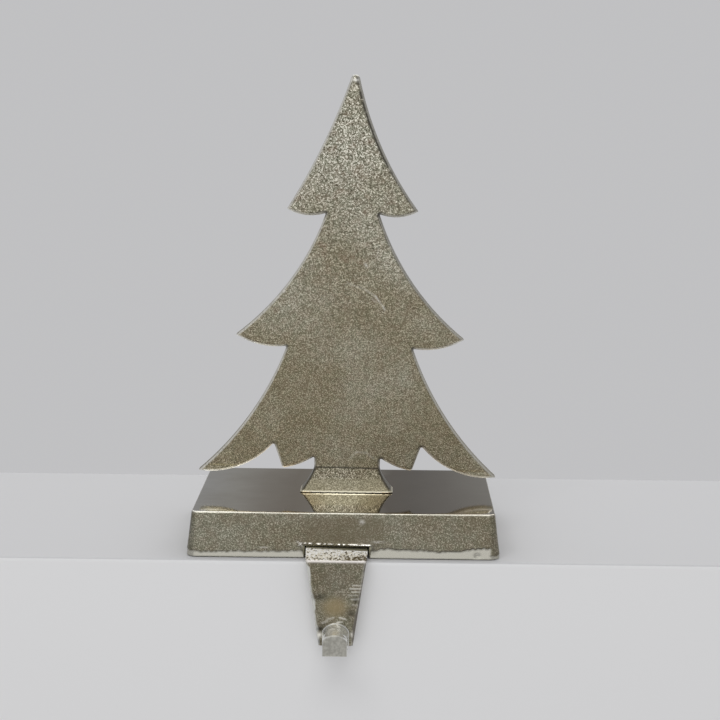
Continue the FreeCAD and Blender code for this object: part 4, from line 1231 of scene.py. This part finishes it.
def paintHook(piece):
    # brown skin, ground edges painted light on the left and shaded on the right, a worn facet painted pale as
    # a highlight, painted highlights and shade, a polished crown and a dull end face
    paint = newPaint("hookNickel")
    place = paint.place()
    across, level = paint.axis(place, 0), paint.axis(place, 2)
    gold = paint.mark("gold")
    colour, roughness, bump = castSkin(paint, paint.mark("rough"), 0.6, 0.34 - gold * 0.12, 0.5, 0.77, 23)
    colour = paint.mix(gold * 0.7, colour, (0.38, 0.3, 0.165))
    # the ground edges: painted light on the left edge and painted shade on the right
    edge = paint.mix((across + 2.25).ramp(-2, 2), (0.7, 0.7, 0.66), (0.18, 0.165, 0.14))
    colour = paint.mix(paint.mark("edge"), colour, edge)
    # painted shade and dark reflections
    colour = paint.mix(paint.mark("dark") * 0.9, colour, (0.03, 0.026, 0.02))
    # file marks, and painted highlights by the peg's root
    bright = paint.mark("bright")
    colour = paint.mix(bright * 0.9, colour, (0.96, 0.93, 0.85))
    facet = paint.mark("facet")
    crease = paint.mark("crease")
    inner = paint.mark("inner")
    # the worn facet painted pale as a highlight, whiter along its top and browner to the lower right
    grain = paint.noise(place, 1.0, 2.0, 0.6, 5)
    lowRight = level.ramp(3.2, 2.0) * 0.06 + (across + 2.25).ramp(-4, 8) * level.ramp(2.9, 2.2) * 0.09
    wearAndSheen = (grain - lowRight).ramp(0.35, 0.46)
    shine = (paint.noise(place, 0.8, 2.0, 0.6, 15) + level.ramp(2.6, 3.6) * 0.1).ramp(0.48, 0.62)
    pale = paint.mix(shine, (0.84, 0.79, 0.66), (1.0, 0.99, 0.95))
    colour = paint.mix(facet, colour, paint.mix(wearAndSheen, (0.26, 0.22, 0.15), pale))
    colour = paint.mix(inner, colour, (0.42, 0.39, 0.27))
    # painted highlight along the crease
    colour = paint.mix(crease, colour, (0.97, 0.92, 0.87))
    crown = paint.mark("crown")
    face = paint.mark("face")
    blotch = paint.noise(place, 1.6, 2.0, 0.6, 61)
    colour = paint.mix(crown, colour, (0.86, 0.86, 0.82))
    dull = paint.mix(blotch.ramp(0.35, 0.65), (0.36, 0.35, 0.31), (0.48, 0.47, 0.42))
    colour = paint.mix(face, colour, dull)
    roughness = roughness * (1 - facet) + facet * 0.34
    roughness = roughness * (1 - crown) + crown * 0.13
    roughness = roughness * (1 - face) + face * 0.42
    metal = 1 - (facet * wearAndSheen * 0.9).math("MAXIMUM", crease * 0.85) - inner * 0.7 - crown * 0.3 \
        - bright * 0.5
    bump = paint.bump(grain * facet, 0.35, 1.0, bump)
    bump = paint.bump(paint.noise(place, 3.0, 1.0, 0.5, 71) * crown, 0.4, 1.0, bump)
    paint.finish(piece, baseColor=colour, roughness=roughness, metallic=metal, normal=bump)


def paintFelt(piece):
    # fine wool fibres in dark grey
    paint = newPaint("feltWool")
    place = paint.place()
    fibre = paint.noise(place, 0.35, 3.0, 0.7)
    colour = paint.mix(fibre.ramp(0.35, 0.7), (0.035, 0.035, 0.038), (0.09, 0.09, 0.092))
    paint.finish(piece, baseColor=colour, roughness=0.95, normal=paint.bump(fibre, 0.2), sheenWeight=0.3)


def paintIron(piece):
    # raw cast iron: dark grey sand-cast grain with brown specks
    paint = newPaint("rawIron")
    place = paint.place()
    grain = paint.noise(place, 1.2, 3.0, 0.6)
    rust = paint.noise(place, 7, 3.0, 0.6, 9)
    colour = paint.mix(grain.ramp(0.35, 0.65), (0.05, 0.05, 0.052), (0.14, 0.138, 0.135))
    colour = paint.mix(rust.ramp(0.6, 0.72) * 0.6, colour, (0.13, 0.06, 0.03))
    paint.finish(piece, baseColor=colour, roughness=0.62 - grain * 0.12, metallic=0.75,
                 normal=paint.bump(grain, 0.25))


def paintSteel(*pieces):
    # bright zinc on steel: cool grey with a faint turned grain
    paint = newPaint("zincSteel")
    place = paint.place((1, 1, 4))
    turned = paint.noise(place, 0.5, 2.0, 0.5)
    bloom = paint.noise(paint.place(), 3, 2.0, 0.5, 4)
    colour = paint.mix(bloom, (0.62, 0.63, 0.65), (0.5, 0.51, 0.52))
    paint.finish(*pieces, baseColor=colour, roughness=0.24 + turned * 0.14, metallic=1.0,
                 normal=paint.bump(turned, 0.03))


paintTree(treePiece)
paintBase(basePiece)
paintHook(hookPiece)
paintFelt(feltPiece)
paintIron(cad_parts["balance_weight"])
paintSteel(*(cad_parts[name] for name in ("tree_screws", "hook_screws", "weight_screws")))
print("pieces painted")


# shelf edge that the holder stands on, and the light

stageSettings = {
    "shelfFront": -41.3,
    "shelfBack": 95.0,
    "shelfHalfWidth": 700.0,
    "shelfHeight": 90.0,
    "shelfColours": ((0.56, 0.56, 0.565), (0.74, 0.74, 0.74)),  # top, and the front painted lighter as painted light
    # surroundings, as heights of a direction (1 is straight up) with their colour there
    "air": ((-0.55, (0.9, 0.9, 0.91)), (-0.42, (0.53, 0.53, 0.54)), (1.0, (0.53, 0.53, 0.54))),
    "screen": (0.24, 0.24, 0.245),  # grey screen behind, above the view, that the polished top mirrors
    "screenHeights": (0.06, 0.17, 0.42, 0.56),
    "screenWidths": (0.36, 0.5),
    "lamps": (
        # place and aim in millimetres, size in millimetres, power in watts
        ("behind", (60, 700, 760), (0, 0, 20), (1100, 560), 4.6),
        ("front", (-120, -700, 980), (0, 0, 60), (1000, 560), 4.6),
        ("fill", (-200, -1500, 260), (0, 0, 60), (1800, 900), 2.6),
    ),
}


def makeShelf(settings):
    s = settings
    corners = [(x, y, z) for x in (-s["shelfHalfWidth"], s["shelfHalfWidth"])
               for y in (s["shelfFront"], s["shelfBack"]) for z in (-s["shelfHeight"], 0)]
    faces = [(0, 1, 3, 2), (4, 6, 7, 5), (0, 4, 5, 1), (2, 3, 7, 6), (0, 2, 6, 4), (1, 5, 7, 3)]
    mesh = bpy.data.meshes.new("shelf")
    mesh.from_pydata(np.array(corners) * mm, [], faces)
    shelf = bpy.data.objects.new("shelf", mesh)
    scene.collection.objects.link(shelf)
    bevel = shelf.modifiers.new("edge", "BEVEL")
    bevel.width = 1.5 * mm
    bevel.segments = 4
    # the front face takes the lighter colour as painted light
    for name, colour in zip(("shelfTop", "shelfFront"), s["shelfColours"]):
        paint = newPaint(name)
        paint.put(colour, paint.shader.inputs["Base Color"])
        paint.put(0.9, paint.shader.inputs["Roughness"])
        mesh.materials.append(paint.owner)
    mesh.polygons[2].material_index = 1


def makeAir(settings):
    # pale surroundings, brighter far below, with the grey screen in front of them
    s = settings
    scene.world = bpy.data.worlds.new("air")
    paint = Paint(scene.world, "Background")
    heading = paint.node("ShaderNodeTexCoord", output="Generated")
    side, depth, height = (paint.axis(heading, k) for k in range(3))
    air = paint.stops(height, -1, 1, [((level + 1) / 2, colour) for level, colour in s["air"]])
    low, lowFull, highFull, high = s["screenHeights"]
    inner, outer = s["screenWidths"]
    screen = height.ramp(low, lowFull) * height.ramp(high, highFull)
    screen = screen * side.math("ABSOLUTE").ramp(outer, inner) * depth.ramp(0, 0.2)
    paint.put(paint.mix(screen, air, s["screen"]), paint.shader.inputs["Color"])


def makeLamps(settings):
    for name, place, aim, size, power in settings["lamps"]:
        data = bpy.data.lights.new(name, "AREA")
        data.shape = "RECTANGLE"
        data.size, data.size_y = (side * mm for side in size)
        data.energy = power
        lamp = bpy.data.objects.new(name, data)
        scene.collection.objects.link(lamp)
        lamp.location = Vector(place) * mm
        lamp.rotation_euler = (Vector(aim) - Vector(place)).to_track_quat("-Z", "Y").to_euler()


makeShelf(stageSettings)
makeAir(stageSettings)
makeLamps(stageSettings)
print("stage set")
